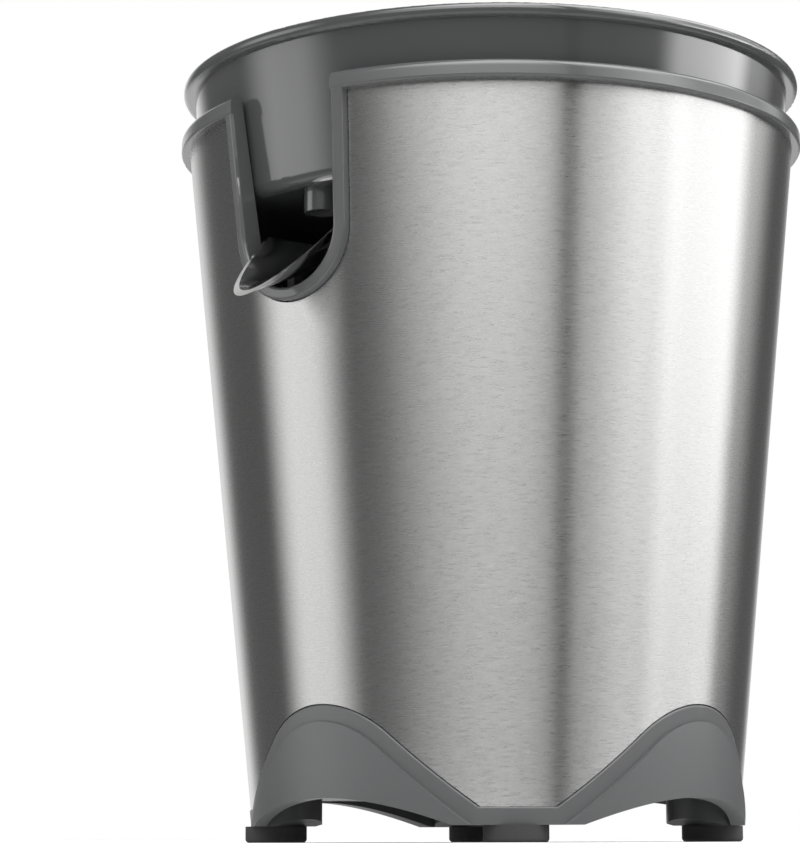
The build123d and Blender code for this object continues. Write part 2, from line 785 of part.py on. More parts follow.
# Spout
with BuildPart() as spout:
    rear_plane = Plane(
        origin=(0, -spout_rear_reach, spout_axis_height),
        x_dir=(1, 0, 0),
        z_dir=(0, -cos(slope), -sin(slope)),
    )
    spout_length = (spout_tip_reach - spout_rear_reach) / cos(slope) + spout_radius
    with BuildSketch(rear_plane):
        Circle(spout_radius)
    extrude(amount=spout_length)
    with BuildSketch(Plane.XY.offset(pivot_height)):
        with Locations((0, -spout_pivot_reach)):
            Rectangle(2 * saddle_half_width, 2 * barrel_radius)
    extrude(amount=spout_radius / 2)
    with BuildSketch(Plane.YZ.offset(-barrel_half_length)):
        with Locations((-spout_pivot_reach, pivot_height)):
            Circle(barrel_radius)
    extrude(amount=2 * barrel_half_length)
    with BuildSketch(Plane.YZ.offset(-barrel_half_length - overrun)):
        with Locations((-spout_pivot_reach, pivot_height)):
            Circle(hinge_pin_radius + running_gap)
    extrude(amount=2 * barrel_half_length + 2 * overrun, mode=Mode.SUBTRACT)
    with BuildSketch(rear_plane.offset(spout_wall)):
        Circle(spout_radius - spout_wall)
    extrude(amount=spout_length, mode=Mode.SUBTRACT)
    split(bisect_by=Plane.XY.offset(spout_edge_height), keep=Keep.BOTTOM)
    lip_plane = Plane(
        origin=(0, -spout_tip_reach, tip_height),
        x_dir=(1, 0, 0),
        z_dir=(0, -sin(lip_slope), cos(lip_slope)),
    )
    split(bisect_by=lip_plane, keep=Keep.BOTTOM)
spout.part.label = "spout"
export_step(spout.part, "parts/spout.step")

# Bracket and pin of the spout
with BuildPart() as spout_bracket:
    bracket_half = ear_inner + ear_wall
    with BuildSketch(Plane.XY.offset(deck_top)):
        with Locations((0, -spout_pivot_reach)):
            Rectangle(2 * bracket_half, 2 * ear_half_width)
    extrude(amount=bracket_wall)
    with BuildSketch(Plane.XY.offset(deck_top)):
        for side in (-1, 1):
            with Locations((side * (ear_inner + ear_wall / 2), -spout_pivot_reach)):
                Rectangle(ear_wall, 2 * ear_half_width)
    extrude(amount=pivot_height - deck_top)
    with BuildSketch(Plane.YZ.offset(-bracket_half)):
        with Locations((-spout_pivot_reach, pivot_height)):
            Circle(ear_half_width)
    extrude(amount=ear_wall)
    with BuildSketch(Plane.YZ.offset(ear_inner)):
        with Locations((-spout_pivot_reach, pivot_height)):
            Circle(ear_half_width)
    extrude(amount=ear_wall)
    with BuildSketch(Plane.YZ.offset(-bracket_half - overrun)):
        with Locations((-spout_pivot_reach, pivot_height)):
            Circle(hinge_pin_radius + running_gap)
    extrude(amount=2 * bracket_half + 2 * overrun, mode=Mode.SUBTRACT)
spout_bracket.part.label = "spout_bracket"
export_step(spout_bracket.part, "parts/spout_bracket.step")

with BuildPart() as spout_pin:
    with BuildSketch(Plane.YZ.offset(-bracket_half)):
        with Locations((-spout_pivot_reach, pivot_height)):
            Circle(hinge_pin_radius)
    extrude(amount=2 * bracket_half)
spout_pin.part.label = "spout_pin"
export_step(spout_pin.part, "parts/spout_pin.step")

# Output gear
with BuildPart() as output_gear:
    with BuildSketch(Plane.XY.offset(second_foot)):
        Polygon(
            *gear_outline(second_tooth_size, second_gear_teeth, gear_tip_share, gear_root_share, idler_angle),
            align=None,
        )
    extrude(amount=second_face)
    rim_inner = second_tooth_size * (second_gear_teeth / 2 - gear_root_share) - gear_rim
    for recess_foot in (second_foot, second_top - gear_recess):
        with BuildSketch(Plane.XY.offset(recess_foot)):
            Circle(rim_inner)
            Circle(gear_hub_radius, mode=Mode.SUBTRACT)
        extrude(amount=gear_recess, mode=Mode.SUBTRACT)
    with BuildSketch(Plane.XY.offset(case_floor + end_gap)):
        Circle(gear_journal_radius)
    extrude(amount=cover_foot - case_floor - 2 * end_gap)
    with BuildSketch(Plane.XY.offset(case_floor + gear_boss_height)):
        Circle(gear_hub_radius)
    extrude(amount=second_top + end_gap - case_floor - gear_boss_height)
    with BuildSketch(Plane.XY.offset(case_floor)):
        Circle(spindle_radius + running_gap)
        Rectangle(4 * spindle_radius, spindle_flat + 2 * running_gap, mode=Mode.INTERSECT)
    extrude(amount=case_depth, mode=Mode.SUBTRACT)
output_gear.part.label = "output_gear"
export_step(output_gear.part, "parts/output_gear.step")

# Idler: large gear and small pinion in one piece
with BuildPart() as idler_gear:
    with BuildSketch(Plane.XY.offset(first_foot)):
        with Locations((idler_x, idler_y)):
            Polygon(
                *gear_outline(first_tooth_size, first_gear_teeth, gear_tip_share, gear_root_share, motor_angle),
                align=None,
            )
    extrude(amount=first_face)
    pinion_turn = idler_angle + pi + pi / second_pinion_teeth
    with BuildSketch(Plane.XY.offset(first_top)):
        with Locations((idler_x, idler_y)):
            Polygon(
                *gear_outline(
                    second_tooth_size, second_pinion_teeth, pinion_tip_share, pinion_root_share, pinion_turn
                ),
                align=None,
            )
    extrude(amount=idler_top - first_top)
    with BuildSketch(Plane.XY.offset(case_floor)):
        with Locations((idler_x, idler_y)):
            Circle(idler_pin_radius + running_gap)
    extrude(amount=case_depth, mode=Mode.SUBTRACT)
idler_gear.part.label = "idler_gear"
export_step(idler_gear.part, "parts/idler_gear.step")

with BuildPart() as idler_pin:
    with BuildSketch(Plane.XY.offset(case_foot)):
        with Locations((idler_x, idler_y)):
            Circle(idler_pin_radius)
    extrude(amount=deck_foot - case_foot)
idler_pin.part.label = "idler_pin"
export_step(idler_pin.part, "parts/idler_pin.step")

# Gearbox case
with BuildPart() as gearbox_tray:
    with BuildSketch(Plane.XY.offset(case_foot)):
        Circle(output_case_radius + case_wall)
        with Locations((idler_x, idler_y)):
            Circle(idler_case_radius + case_wall)
        make_hull()
    extrude(amount=cover_foot - case_foot)
    with BuildSketch(Plane.XY.offset(cover_foot - lug_height)):
        with Locations(*lug_places):
            Circle(lug_radius)
    extrude(amount=lug_height)
    with BuildSketch(Plane.XY.offset(case_floor)):
        Circle(output_case_radius)
        with Locations((idler_x, idler_y)):
            Circle(idler_case_radius)
        make_hull()
    extrude(amount=case_depth, mode=Mode.SUBTRACT)
    with BuildSketch(Plane.XY.offset(case_floor)):
        Circle(gear_journal_radius + running_gap + gear_boss_wall)
        Circle(gear_journal_radius + running_gap, mode=Mode.SUBTRACT)
    extrude(amount=gear_boss_height - end_gap)
    with BuildSketch(Plane.XY.offset(case_foot)):
        Circle(switch_pin_radius + running_gap)
        with Locations((idler_x, idler_y)):
            Circle(idler_pin_radius + running_gap)
        with Locations((0, rotor_offset)):
            Circle(rotor_shaft_radius + end_gap)
        with Locations(*motor_bolt_places):
            Circle(motor_bolt_radius + running_gap)
        with Locations(*lug_places):
            Circle(case_screw_radius + running_gap)
    extrude(amount=cover_foot - case_foot, mode=Mode.SUBTRACT)
gearbox_tray.part.label = "gearbox_tray"
export_step(gearbox_tray.part, "parts/gearbox_tray.step")

with BuildPart() as gearbox_cover:
    with BuildSketch(Plane.XY.offset(cover_foot)):
        Circle(output_case_radius + case_wall)
        with Locations((idler_x, idler_y)):
            Circle(idler_case_radius + case_wall)
        make_hull()
    extrude(amount=case_plate)
    with BuildSketch(Plane.XY.offset(cover_foot)):
        with Locations(*lug_places):
            Circle(lug_radius)
    extrude(amount=case_plate)
    with BuildSketch(Plane.XY.offset(second_top + 2 * end_gap)):
        Circle(gear_journal_radius + running_gap + gear_boss_wall)
    extrude(amount=cover_foot - second_top - 2 * end_gap)
    with BuildSketch(Plane.XY.offset(second_top + 2 * end_gap)):
        Circle(gear_journal_radius + running_gap)
    extrude(amount=cover_foot - second_top - 2 * end_gap, mode=Mode.SUBTRACT)
    with BuildSketch(Plane.XY.offset(cover_foot)):
        Circle(spindle_radius + end_gap)
        with Locations((idler_x, idler_y)):
            Circle(idler_pin_radius + running_gap)
        with Locations(*lug_places):
            Circle(case_screw_radius + running_gap)
    extrude(amount=case_plate, mode=Mode.SUBTRACT)
gearbox_cover.part.label = "gearbox_cover"
export_step(gearbox_cover.part, "parts/gearbox_cover.step")

with BuildPart() as gearbox_screws:
    with BuildSketch(Plane.XY.offset(cover_foot - lug_height - case_screw_head_height)):
        with Locations(*lug_places):
            Circle(case_screw_head)
    extrude(amount=case_screw_head_height)
    with BuildSketch(Plane.XY.offset(cover_foot - lug_height)):
        with Locations(*lug_places):
            Circle(case_screw_radius)
    extrude(amount=lug_height + case_plate + case_screw_bite_length)
gearbox_screws.part.label = "gearbox_screws"
export_step(gearbox_screws.part, "parts/gearbox_screws.step")

# Turning half of the motor
with BuildPart() as rotor_shaft:
    with BuildSketch(Plane.XY.offset(shaft_foot)):
        with Locations((0, rotor_offset)):
            Circle(rotor_shaft_radius)
    extrude(amount=first_top + end_gap - shaft_foot)
rotor_shaft.part.label = "rotor_shaft"
export_step(rotor_shaft.part, "parts/rotor_shaft.step")

with BuildPart() as rotor_core:
    with BuildSketch(Plane.XY.offset(stack_foot)):
        with Locations((0, rotor_offset)):
            Circle(rotor_radius)
    extrude(amount=stack_height)
    with BuildSketch(Plane.XY.offset(stack_foot - end_ring_height)):
        with Locations((0, rotor_offset)):
            Circle(rotor_radius * end_ring_share)
    extrude(amount=stack_height + 2 * end_ring_height)
    with BuildSketch(Plane.XY.offset(stack_foot - end_ring_height)):
        with Locations((0, rotor_offset)):
            Circle(rotor_shaft_radius)
    extrude(amount=stack_height + 2 * end_ring_height, mode=Mode.SUBTRACT)
rotor_core.part.label = "rotor_core"
export_step(rotor_core.part, "parts/rotor_core.step")

with BuildPart() as motor_pinion:
    motor_turn = motor_angle + pi + pi / first_pinion_teeth
    with BuildSketch(Plane.XY.offset(first_foot)):
        with Locations((0, rotor_offset)):
            Polygon(
                *gear_outline(first_tooth_size, first_pinion_teeth, pinion_tip_share, pinion_root_share, motor_turn),
                align=None,
            )
            Circle(rotor_shaft_radius, mode=Mode.SUBTRACT)
    extrude(amount=first_face)
motor_pinion.part.label = "motor_pinion"
export_step(motor_pinion.part, "parts/motor_pinion.step")

with BuildPart() as cooling_fan:
    with BuildSketch(Plane.XY.offset(shaft_foot)):
        with Locations((0, rotor_offset)):
            Circle(fan_hub_radius)
    extrude(amount=fan_height)
    blade_length = fan_radius - fan_hub_radius / 2
    blade_middle = fan_hub_radius / 2 + blade_length / 2
    with Locations((0, rotor_offset, shaft_foot + fan_height / 2)):
        with PolarLocations(blade_middle, fan_blade_count):
            Box(blade_length, fan_blade, fan_height, rotation=(fan_pitch, 0, 0))
    with BuildSketch(Plane.XY.offset(shaft_foot)):
        with Locations((0, rotor_offset)):
            Circle(rotor_shaft_radius)
    extrude(amount=fan_height, mode=Mode.SUBTRACT)
cooling_fan.part.label = "cooling_fan"
export_step(cooling_fan.part, "parts/cooling_fan.step")

# Fixed half of the motor
with BuildPart() as stator_core:
    stator_middle = (stator_rear - stator_front) / 2
    with BuildSketch(Plane.XY.offset(stack_foot)):
        with Locations((0, stator_middle)):
            Rectangle(2 * stator_half_width, stator_rear + stator_front)
        with Locations((0, rotor_offset)):
            Circle(rotor_radius + air_gap, mode=Mode.SUBTRACT)
        with Locations((0, window_front + window_depth / 2)):
            Rectangle(2 * window_half_width, window_depth, mode=Mode.SUBTRACT)
        with Locations(*motor_bolt_places):
            Circle(motor_bolt_radius + running_gap, mode=Mode.SUBTRACT)
    extrude(amount=stack_height)
stator_core.part.label = "stator_core"
export_step(stator_core.part, "parts/stator_core.step")

with BuildPart() as coil_bobbin:
    with BuildSketch(Plane.YZ.offset(-coil_half_length - bobbin_flange)):
        with Locations((leg_middle, stack_middle)):
            Rectangle(2 * (leg_half + bobbin_wall), 2 * (stack_half + bobbin_wall))
            Rectangle(2 * leg_half, 2 * stack_half, mode=Mode.SUBTRACT)
    extrude(amount=2 * (coil_half_length + bobbin_flange))
    flange_half_y = leg_half + bobbin_wall + coil_build
    flange_half_z = stack_half + bobbin_wall + coil_build
    for flange_x in (-coil_half_length - bobbin_flange, coil_half_length):
        with BuildSketch(Plane.YZ.offset(flange_x)):
            with Locations((leg_middle, stack_middle)):
                Rectangle(2 * flange_half_y, 2 * flange_half_z)
                Rectangle(2 * leg_half, 2 * stack_half, mode=Mode.SUBTRACT)
        extrude(amount=bobbin_flange)
coil_bobbin.part.label = "coil_bobbin"
export_step(coil_bobbin.part, "parts/coil_bobbin.step")

with BuildPart() as winding:
    with BuildSketch(Plane.YZ.offset(-coil_half_length)):
        with Locations((leg_middle, stack_middle)):
            RectangleRounded(2 * (flange_half_y - end_gap), 2 * (flange_half_z - end_gap), coil_round)
            Rectangle(2 * (leg_half + bobbin_wall), 2 * (stack_half + bobbin_wall), mode=Mode.SUBTRACT)
    extrude(amount=2 * coil_half_length)
winding.part.label = "winding"
export_step(winding.part, "parts/winding.step")

# Brackets, bushes, bolts and spacers of the motor
with BuildPart() as upper_bracket:
    with BuildSketch(Plane.XY.offset(upper_plate_foot)):
        with Locations((0, bracket_middle)):
            Rectangle(2 * stator_half_width, bracket_depth)
    extrude(amount=bracket_plate)
    with BuildSketch(Plane.XY.offset(stack_top)):
        for side in (-1, 1):
            with Locations((side * bracket_leg_x, bracket_middle)):
                Rectangle(bracket_leg, bracket_depth)
    extrude(amount=bracket_rise)
    with BuildSketch(Plane.XY.offset(stack_top)):
        with Locations((0, rotor_offset)):
            Circle(rotor_shaft_radius + running_gap + motor_bush_wall)
        with Locations(*motor_bolt_places[:2]):
            Circle(motor_bolt_radius + running_gap)
    extrude(amount=bracket_rise + bracket_plate, mode=Mode.SUBTRACT)
upper_bracket.part.label = "upper_bracket"
export_step(upper_bracket.part, "parts/upper_bracket.step")

with BuildPart() as lower_bracket:
    with BuildSketch(Plane.XY.offset(lower_plate_top - bracket_plate)):
        with Locations((0, bracket_middle)):
            Rectangle(2 * stator_half_width, bracket_depth)
    extrude(amount=bracket_plate)
    with BuildSketch(Plane.XY.offset(lower_plate_top)):
        for side in (-1, 1):
            with Locations((side * bracket_leg_x, bracket_middle)):
                Rectangle(bracket_leg, bracket_depth)
    extrude(amount=bracket_rise)
    with BuildSketch(Plane.XY.offset(lower_plate_top - bracket_plate)):
        with Locations((0, rotor_offset)):
            Circle(rotor_shaft_radius + running_gap + motor_bush_wall)
        with Locations(*motor_bolt_places[:2]):
            Circle(motor_bolt_radius + running_gap)
    extrude(amount=bracket_rise + bracket_plate, mode=Mode.SUBTRACT)
lower_bracket.part.label = "lower_bracket"
export_step(lower_bracket.part, "parts/lower_bracket.step")

with BuildPart() as rotor_bushes:
    bush_inset = (motor_bush_length - bracket_plate) / 2
    for bush_start in (upper_plate_foot - bush_inset, lower_plate_top - bracket_plate - bush_inset):
        with BuildSketch(Plane.XY.offset(bush_start)):
            with Locations((0, rotor_offset)):
                Circle(rotor_shaft_radius + motor_bush_wall)
                Circle(rotor_shaft_radius + running_gap, mode=Mode.SUBTRACT)
        extrude(amount=motor_bush_length)
rotor_bushes.part.label = "rotor_bushes"
export_step(rotor_bushes.part, "parts/rotor_bushes.step")

with BuildPart() as motor_bolts:
    for place, head_top in zip(motor_bolt_places, [lower_plate_top - bracket_plate] * 2 + [stack_foot] * 2):
        with BuildSketch(Plane.XY.offset(head_top - motor_bolt_head_height)):
            with Locations(place):
                Circle(motor_bolt_head)
        extrude(amount=motor_bolt_head_height)
        with BuildSketch(Plane.XY.offset(head_top)):
            with Locations(place):
                Circle(motor_bolt_radius)
        extrude(amount=case_floor - head_top)
motor_bolts.part.label = "motor_bolts"
export_step(motor_bolts.part, "parts/motor_bolts.step")

with BuildPart() as motor_spacers:
    spacer_feet = [upper_plate_foot + bracket_plate] * 2 + [stack_top] * 2
    for place, spacer_foot in zip(motor_bolt_places, spacer_feet):
        with BuildSketch(Plane.XY.offset(spacer_foot)):
            with Locations(place):
                Circle(motor_bolt_radius + running_gap + spacer_wall)
                Circle(motor_bolt_radius + running_gap, mode=Mode.SUBTRACT)
        extrude(amount=case_foot - spacer_foot)
motor_spacers.part.label = "motor_spacers"
export_step(motor_spacers.part, "parts/motor_spacers.step")

# Switch under the spindle
with BuildPart() as microswitch:
    with BuildSketch(Plane.XY.offset(case_foot - switch_height)):
        Rectangle(switch_length, switch_width)
    extrude(amount=switch_height)
    pin_room = switch_pin_dip + press_travel + end_gap
    with BuildSketch(Plane.XY.offset(case_foot - pin_room)):
        Circle(switch_pin_radius + running_gap)
    extrude(amount=pin_room, mode=Mode.SUBTRACT)
microswitch.part.label = "microswitch"
export_step(microswitch.part, "parts/microswitch.step")

with BuildPart() as switch_pin:
    with BuildSketch(Plane.XY.offset(case_foot - switch_pin_dip)):
        Circle(switch_pin_radius)
    extrude(amount=spindle_foot - case_foot + switch_pin_dip)
switch_pin.part.label = "switch_pin"
export_step(switch_pin.part, "parts/switch_pin.step")

with BuildPart() as return_spring:
    spring_length = spindle_floor_gap - 2 * spring_wire
    with BuildLine(Plane.XY.offset(case_floor + spring_wire)) as spring_path:
        Helix(pitch=spring_turn_rise, height=spring_length, radius=spring_radius)
    with BuildSketch(Plane(origin=spring_path.line @ 0, z_dir=spring_path.line % 0)):
        Circle(spring_wire)
    sweep(path=spring_path.line, is_frenet=True)
return_spring.part.label = "return_spring"
export_step(return_spring.part, "parts/return_spring.step")

# Raised panels of the base
with BuildPart() as base_panels:
    with BuildSketch(Plane.XZ):
        panel_foot_radius = shell_radius(foot_height) + panel_foot_proud
        panel_top_radius = shell_radius(hump_apex) + panel_top_proud
        with BuildLine():
            ThreePointArc(
                (panel_foot_radius, foot_height),
                (panel_mid_radius, panel_mid),
                (panel_top_radius, hump_apex),
            )
            Polyline(
                (panel_top_radius, hump_apex),
                (0, hump_apex),
                (0, foot_height),
                (panel_foot_radius, foot_height),
            )
        make_face()
    revolve(axis=Axis.Z)
    add(panel_wave, mode=Mode.INTERSECT)

# Base
with BuildPart() as base:
    add(base_wave)
    with BuildSketch(Plane.XY.offset(foot_height)):
        Circle(collar_radius)
    extrude(amount=shell_foot_height - foot_height)
    with BuildSketch(Plane.XZ):
        Polygon(
            (0, foot_height),
            (shell_radius(foot_height) + band_proud, foot_height),
            (shell_radius(hump_apex) + band_proud, hump_apex),
            (0, hump_apex),
            align=None,
        )
    revolve(axis=Axis.Z, mode=Mode.INTERSECT)
    band_edges = []
    for edge in base.edges():
        middle = edge.position_at(0.5)
        band_reach = shell_radius(middle.Z) + band_proud
        rises = middle.Z > (foot_height + shell_foot_height) / 2 and edge.geom_type != GeomType.LINE
        if rises and hypot(middle.X, middle.Y) > band_reach - seam_gap:
            band_edges.append(edge)
    fillet(band_edges, band_edge_round)
    add(base_panels.part)
    with BuildSketch(Plane.XZ):
        inner_inset = shell_wall + seam_gap + spigot_wall
        Polygon(
            (0, base_floor_top),
            (shell_radius(base_floor_top) - inner_inset, base_floor_top),
            (shell_radius(spigot_top) - inner_inset, spigot_top),
            (0, spigot_top),
            align=None,
        )
    revolve(axis=Axis.Z, mode=Mode.SUBTRACT)
    with BuildSketch(Plane.XZ):
        Polygon(
            (shell_radius(foot_height) - inner_inset, foot_height),
            (shell_radius(foot_height) - shell_wall - seam_gap, foot_height),
            (shell_radius(spigot_top) - shell_wall - seam_gap, spigot_top),
            (shell_radius(spigot_top) - inner_inset, spigot_top),
            align=None,
        )
    revolve(axis=Axis.Z)
    with BuildSketch(Plane.XY.offset(foot_height)):
        Circle(shell_radius(foot_height) - shell_wall - seam_gap)
    extrude(amount=base_floor_top - foot_height)
    with BuildSketch(Plane.XY.offset(foot_height)):
        Circle(shell_radius(foot_height) - skirt_wall)
        with PolarLocations(foot_circle, foot_count, start_angle=foot_turn):
            Circle(pod_radius, mode=Mode.SUBTRACT)
    extrude(amount=base_floor_height - foot_height, mode=Mode.SUBTRACT)
    for plane in (Plane.XZ, Plane.YZ):
        with BuildSketch(plane):
            with BuildLine():
                Polyline(
                    (arch_half_width, foot_height),
                    (arch_half_width, foot_height - overrun),
                    (-arch_half_width, foot_height - overrun),
                    (-arch_half_width, foot_height),
                )
                ThreePointArc((-arch_half_width, foot_height), (0, arch_apex), (arch_half_width, foot_height))
            make_face()
        extrude(amount=collar_radius, both=True, mode=Mode.SUBTRACT)
    with BuildSketch(Plane.XY.offset(foot_height)):
        with PolarLocations(foot_circle, foot_count, start_angle=foot_turn):
            Circle(foot_stem_radius + seam_gap)
    extrude(amount=foot_stem_length + end_gap, mode=Mode.SUBTRACT)
    with BuildSketch(Plane.XY.offset(base_floor_height)):
        with PolarLocations(clamp_circle, clamp_count):
            Circle(clamp_head_radius + seam_gap + clamp_well_wall)
    extrude(amount=clamp_well + base_floor)
    with BuildSketch(Plane.XY.offset(base_floor_height)):
        with PolarLocations(clamp_circle, clamp_count):
            Circle(clamp_head_radius + seam_gap)
    extrude(amount=clamp_well, mode=Mode.SUBTRACT)
    with BuildSketch(Plane.XY.offset(clamp_seat)):
        with PolarLocations(clamp_circle, clamp_count):
            Circle(clamp_radius + running_gap)
    extrude(amount=base_floor, mode=Mode.SUBTRACT)
    with BuildSketch(Plane.XY.offset(base_floor_height)):
        with PolarLocations(vent_circle, vent_count):
            SlotOverall(vent_length, vent_width)
    extrude(amount=base_floor, mode=Mode.SUBTRACT)
    with BuildSketch(Plane.XZ.offset(-collar_radius)):
        with Locations((0, gland_height)):
            Circle(gland_radius + running_gap)
    extrude(amount=collar_radius - foot_circle, mode=Mode.SUBTRACT)
base.part.label = "base"
export_step(base.part, "parts/base.step")

# Feet
for number in range(foot_count):
    foot_angle = radians(foot_turn + number * 360 / foot_count)
    foot_place = (foot_circle * cos(foot_angle), foot_circle * sin(foot_angle))
    with BuildPart() as rubber_foot:
        with BuildSketch(Plane.XY):
            with Locations(foot_place):
                Circle(foot_radius)
        extrude(amount=foot_height)
        fillet(rubber_foot.edges().group_by(Axis.Z)[0], foot_round)
        with BuildSketch(Plane.XY.offset(foot_height)):
            with Locations(foot_place):
                Circle(foot_stem_radius)
        extrude(amount=foot_stem_length)
    rubber_foot.part.label = f"rubber_foot_{number + 1}"
    export_step(rubber_foot.part, f"parts/rubber_foot_{number + 1}.step")

# Long screws that clamp base, sleeve and cradle
with BuildPart() as clamp_screws:
    with BuildSketch(Plane.XY.offset(clamp_seat - clamp_head_height)):
        with PolarLocations(clamp_circle, clamp_count):
            Circle(clamp_head_radius)
    extrude(amount=clamp_head_height)
    with BuildSketch(Plane.XY.offset(clamp_seat)):
        with PolarLocations(clamp_circle, clamp_count):
            Circle(clamp_radius)
    extrude(amount=deck_foot - clamp_boss_length + clamp_bite_length - clamp_seat)
clamp_screws.part.label = "clamp_screws"
export_step(clamp_screws.part, "parts/clamp_screws.step")

# Gland where a cord enters
with BuildPart() as cord_gland:
    gland_face = max(panel_foot_radius, panel_mid_radius, panel_top_radius) + seam_gap
    gland_inner = shell_radius(gland_height) - shell_wall - seam_gap - spigot_wall - gland_tail
    with BuildSketch(Plane.XZ.offset(-gland_face - gland_flange)):
        with Locations((0, gland_height)):
            Circle(gland_flange_radius)
    extrude(amount=gland_flange)
    with BuildSketch(Plane.XZ.offset(-gland_face)):
        with Locations((0, gland_height)):
            Circle(gland_radius)
    extrude(amount=gland_face - gland_inner)
    with BuildSketch(Plane.XZ.offset(-gland_face - gland_flange)):
        with Locations((0, gland_height)):
            Circle(gland_bore_radius)
    extrude(amount=gland_face + gland_flange - gland_inner, mode=Mode.SUBTRACT)
cord_gland.part.label = "cord_gland"
export_step(cord_gland.part, "parts/cord_gland.step")
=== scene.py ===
# %% [markdown]
# # An electric citrus press
# A tapered sleeve of brushed steel stands on a grey moulded base. A grey bowl sits in a collar at
# its top, and a polished spout comes out through a U-shaped notch. Half a fruit pushed down on the
# cone starts the motor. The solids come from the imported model. This lesson gives them their
# finishes and adds what only a mesh can show.

import json
import math

import bmesh
import bpy
import numpy as np
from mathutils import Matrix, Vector
from mathutils.kdtree import KDTree

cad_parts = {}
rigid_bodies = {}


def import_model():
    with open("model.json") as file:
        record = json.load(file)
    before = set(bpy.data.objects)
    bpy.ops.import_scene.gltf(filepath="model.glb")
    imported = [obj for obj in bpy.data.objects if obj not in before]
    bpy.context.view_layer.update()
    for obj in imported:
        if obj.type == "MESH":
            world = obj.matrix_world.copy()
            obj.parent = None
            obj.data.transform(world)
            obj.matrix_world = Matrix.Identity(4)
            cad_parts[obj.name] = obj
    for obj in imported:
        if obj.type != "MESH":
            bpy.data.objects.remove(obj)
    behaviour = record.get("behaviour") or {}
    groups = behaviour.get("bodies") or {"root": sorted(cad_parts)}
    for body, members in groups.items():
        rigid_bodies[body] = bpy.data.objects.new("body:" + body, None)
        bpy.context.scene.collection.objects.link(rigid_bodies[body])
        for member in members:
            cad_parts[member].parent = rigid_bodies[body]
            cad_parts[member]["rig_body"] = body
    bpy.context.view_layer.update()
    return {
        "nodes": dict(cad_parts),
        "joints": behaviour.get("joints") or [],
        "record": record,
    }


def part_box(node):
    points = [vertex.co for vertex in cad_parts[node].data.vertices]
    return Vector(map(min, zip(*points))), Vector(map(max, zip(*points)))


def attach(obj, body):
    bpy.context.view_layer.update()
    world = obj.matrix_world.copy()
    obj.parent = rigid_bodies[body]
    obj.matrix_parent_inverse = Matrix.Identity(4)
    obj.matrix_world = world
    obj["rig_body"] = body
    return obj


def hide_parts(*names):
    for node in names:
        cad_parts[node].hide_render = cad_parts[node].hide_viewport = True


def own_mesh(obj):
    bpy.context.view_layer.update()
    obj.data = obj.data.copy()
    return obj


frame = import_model()
nodes = frame["nodes"]
MM = 0.001

# %% [markdown]
# ## Nodes by script
# Finishes, shapes and light are all made of node trees here. They could be joined by hand in the
# editor, but then nobody could read how. Two helpers keep the script short: one adds a node with
# its settings, values and links, and the other does a sum.


# %% Helpers for node trees
def step(tree, kind, links=(), **settings):
    """One node of a tree, with its settings and its incoming links or plain values by socket."""
    node = tree.nodes.new(kind)
    for key, value in settings.items():
        setattr(node, key, value)
    for socket, value in links:
        if isinstance(value, bpy.types.NodeSocket):
            tree.links.new(value, node.inputs[socket])
        else:
            node.inputs[socket].default_value = value
    return node


def sums(tree, operation, *values):
    """A Math node; returns its result."""
    return step(tree, "ShaderNodeMath", list(enumerate(values)), operation=operation).outputs[0]


def between(tree, value, low, high, start=0.3, end=0.7, curve="LINEAR"):
    """Turns numbers from start to end into numbers from low to high."""
    limits = [("From Min", start), ("From Max", end), ("To Min", low), ("To Max", high)]
    limits.append(("Value", value))
    return step(tree, "ShaderNodeMapRange", limits, interpolation_type=curve).outputs["Result"]


print("node helpers ready")

# %% [markdown]
# ## Finishes
# Every finish starts from one Principled shader. Even a plain moulding is never one flat colour:
# the tool's texture, the flow of the plastic and small differences in gloss all show. Those
# patterns are read from Object coordinates, which stay with the piece when it moves. Values that
# are the same all over are set on the shader.

# %% Helpers for finishes
TINT_REACH = 0.22  # how far from a pattern's middle the tint is full


def grey(level, warm=0.0):
    """Linear colour of a grey given as an 8-bit screen level, a little warmer or cooler."""
    c = level / 255
    linear = ((c + 0.055) / 1.055) ** 2.4
    return (linear * (1 + warm), linear, linear * (1 - warm))


def start_finish(name, colour, roughness, metallic=0.0, **sockets):
    """A material with its shader's plain values set; returns it, its tree and its shader."""
    finish = bpy.data.materials.new(name)
    finish.use_nodes = True
    tree = finish.node_tree
    shader = tree.nodes["Principled BSDF"]
    shader.inputs["Base Color"].default_value = (*colour, 1)
    shader.inputs["Roughness"].default_value = roughness
    shader.inputs["Metallic"].default_value = metallic
    for socket, value in sockets.items():
        shader.inputs[socket.replace("_", " ")].default_value = value
    return finish, tree, shader


def pattern(tree, scale, stretch=(1, 1, 1), detail=2.0):
    """A noise on Object coordinates, in features per metre; returns its value."""
    place = step(tree, "ShaderNodeTexCoord").outputs["Object"]
    sizes = [("Vector", place), ("Scale", [scale * s for s in stretch])]
    mapped = step(tree, "ShaderNodeMapping", sizes).outputs["Vector"]
    noise = [("Vector", mapped), ("Scale", 1.0), ("Detail", detail)]
    return step(tree, "ShaderNodeTexNoise", noise).outputs[0]


def tint(tree, shader, value, colour, spread):
    """Lets a pattern darken and lighten the base colour by a share called spread."""
    ramp = step(tree, "ShaderNodeValToRGB", [("Fac", value)])
    for end, side in zip(ramp.color_ramp.elements, (-1, 1)):
        end.position = 0.5 + TINT_REACH * side
        end.color = (*[c * (1 + side * spread) for c in colour], 1)
    tree.links.new(ramp.outputs["Color"], shader.inputs["Base Color"])


def gloss(tree, shader, value, roughness, swing):
    """Lets a pattern roughen and smooth the surface by a share called swing."""
    swung = between(tree, value, roughness * (1 - swing), roughness * (1 + swing))
    tree.links.new(swung, shader.inputs["Roughness"])


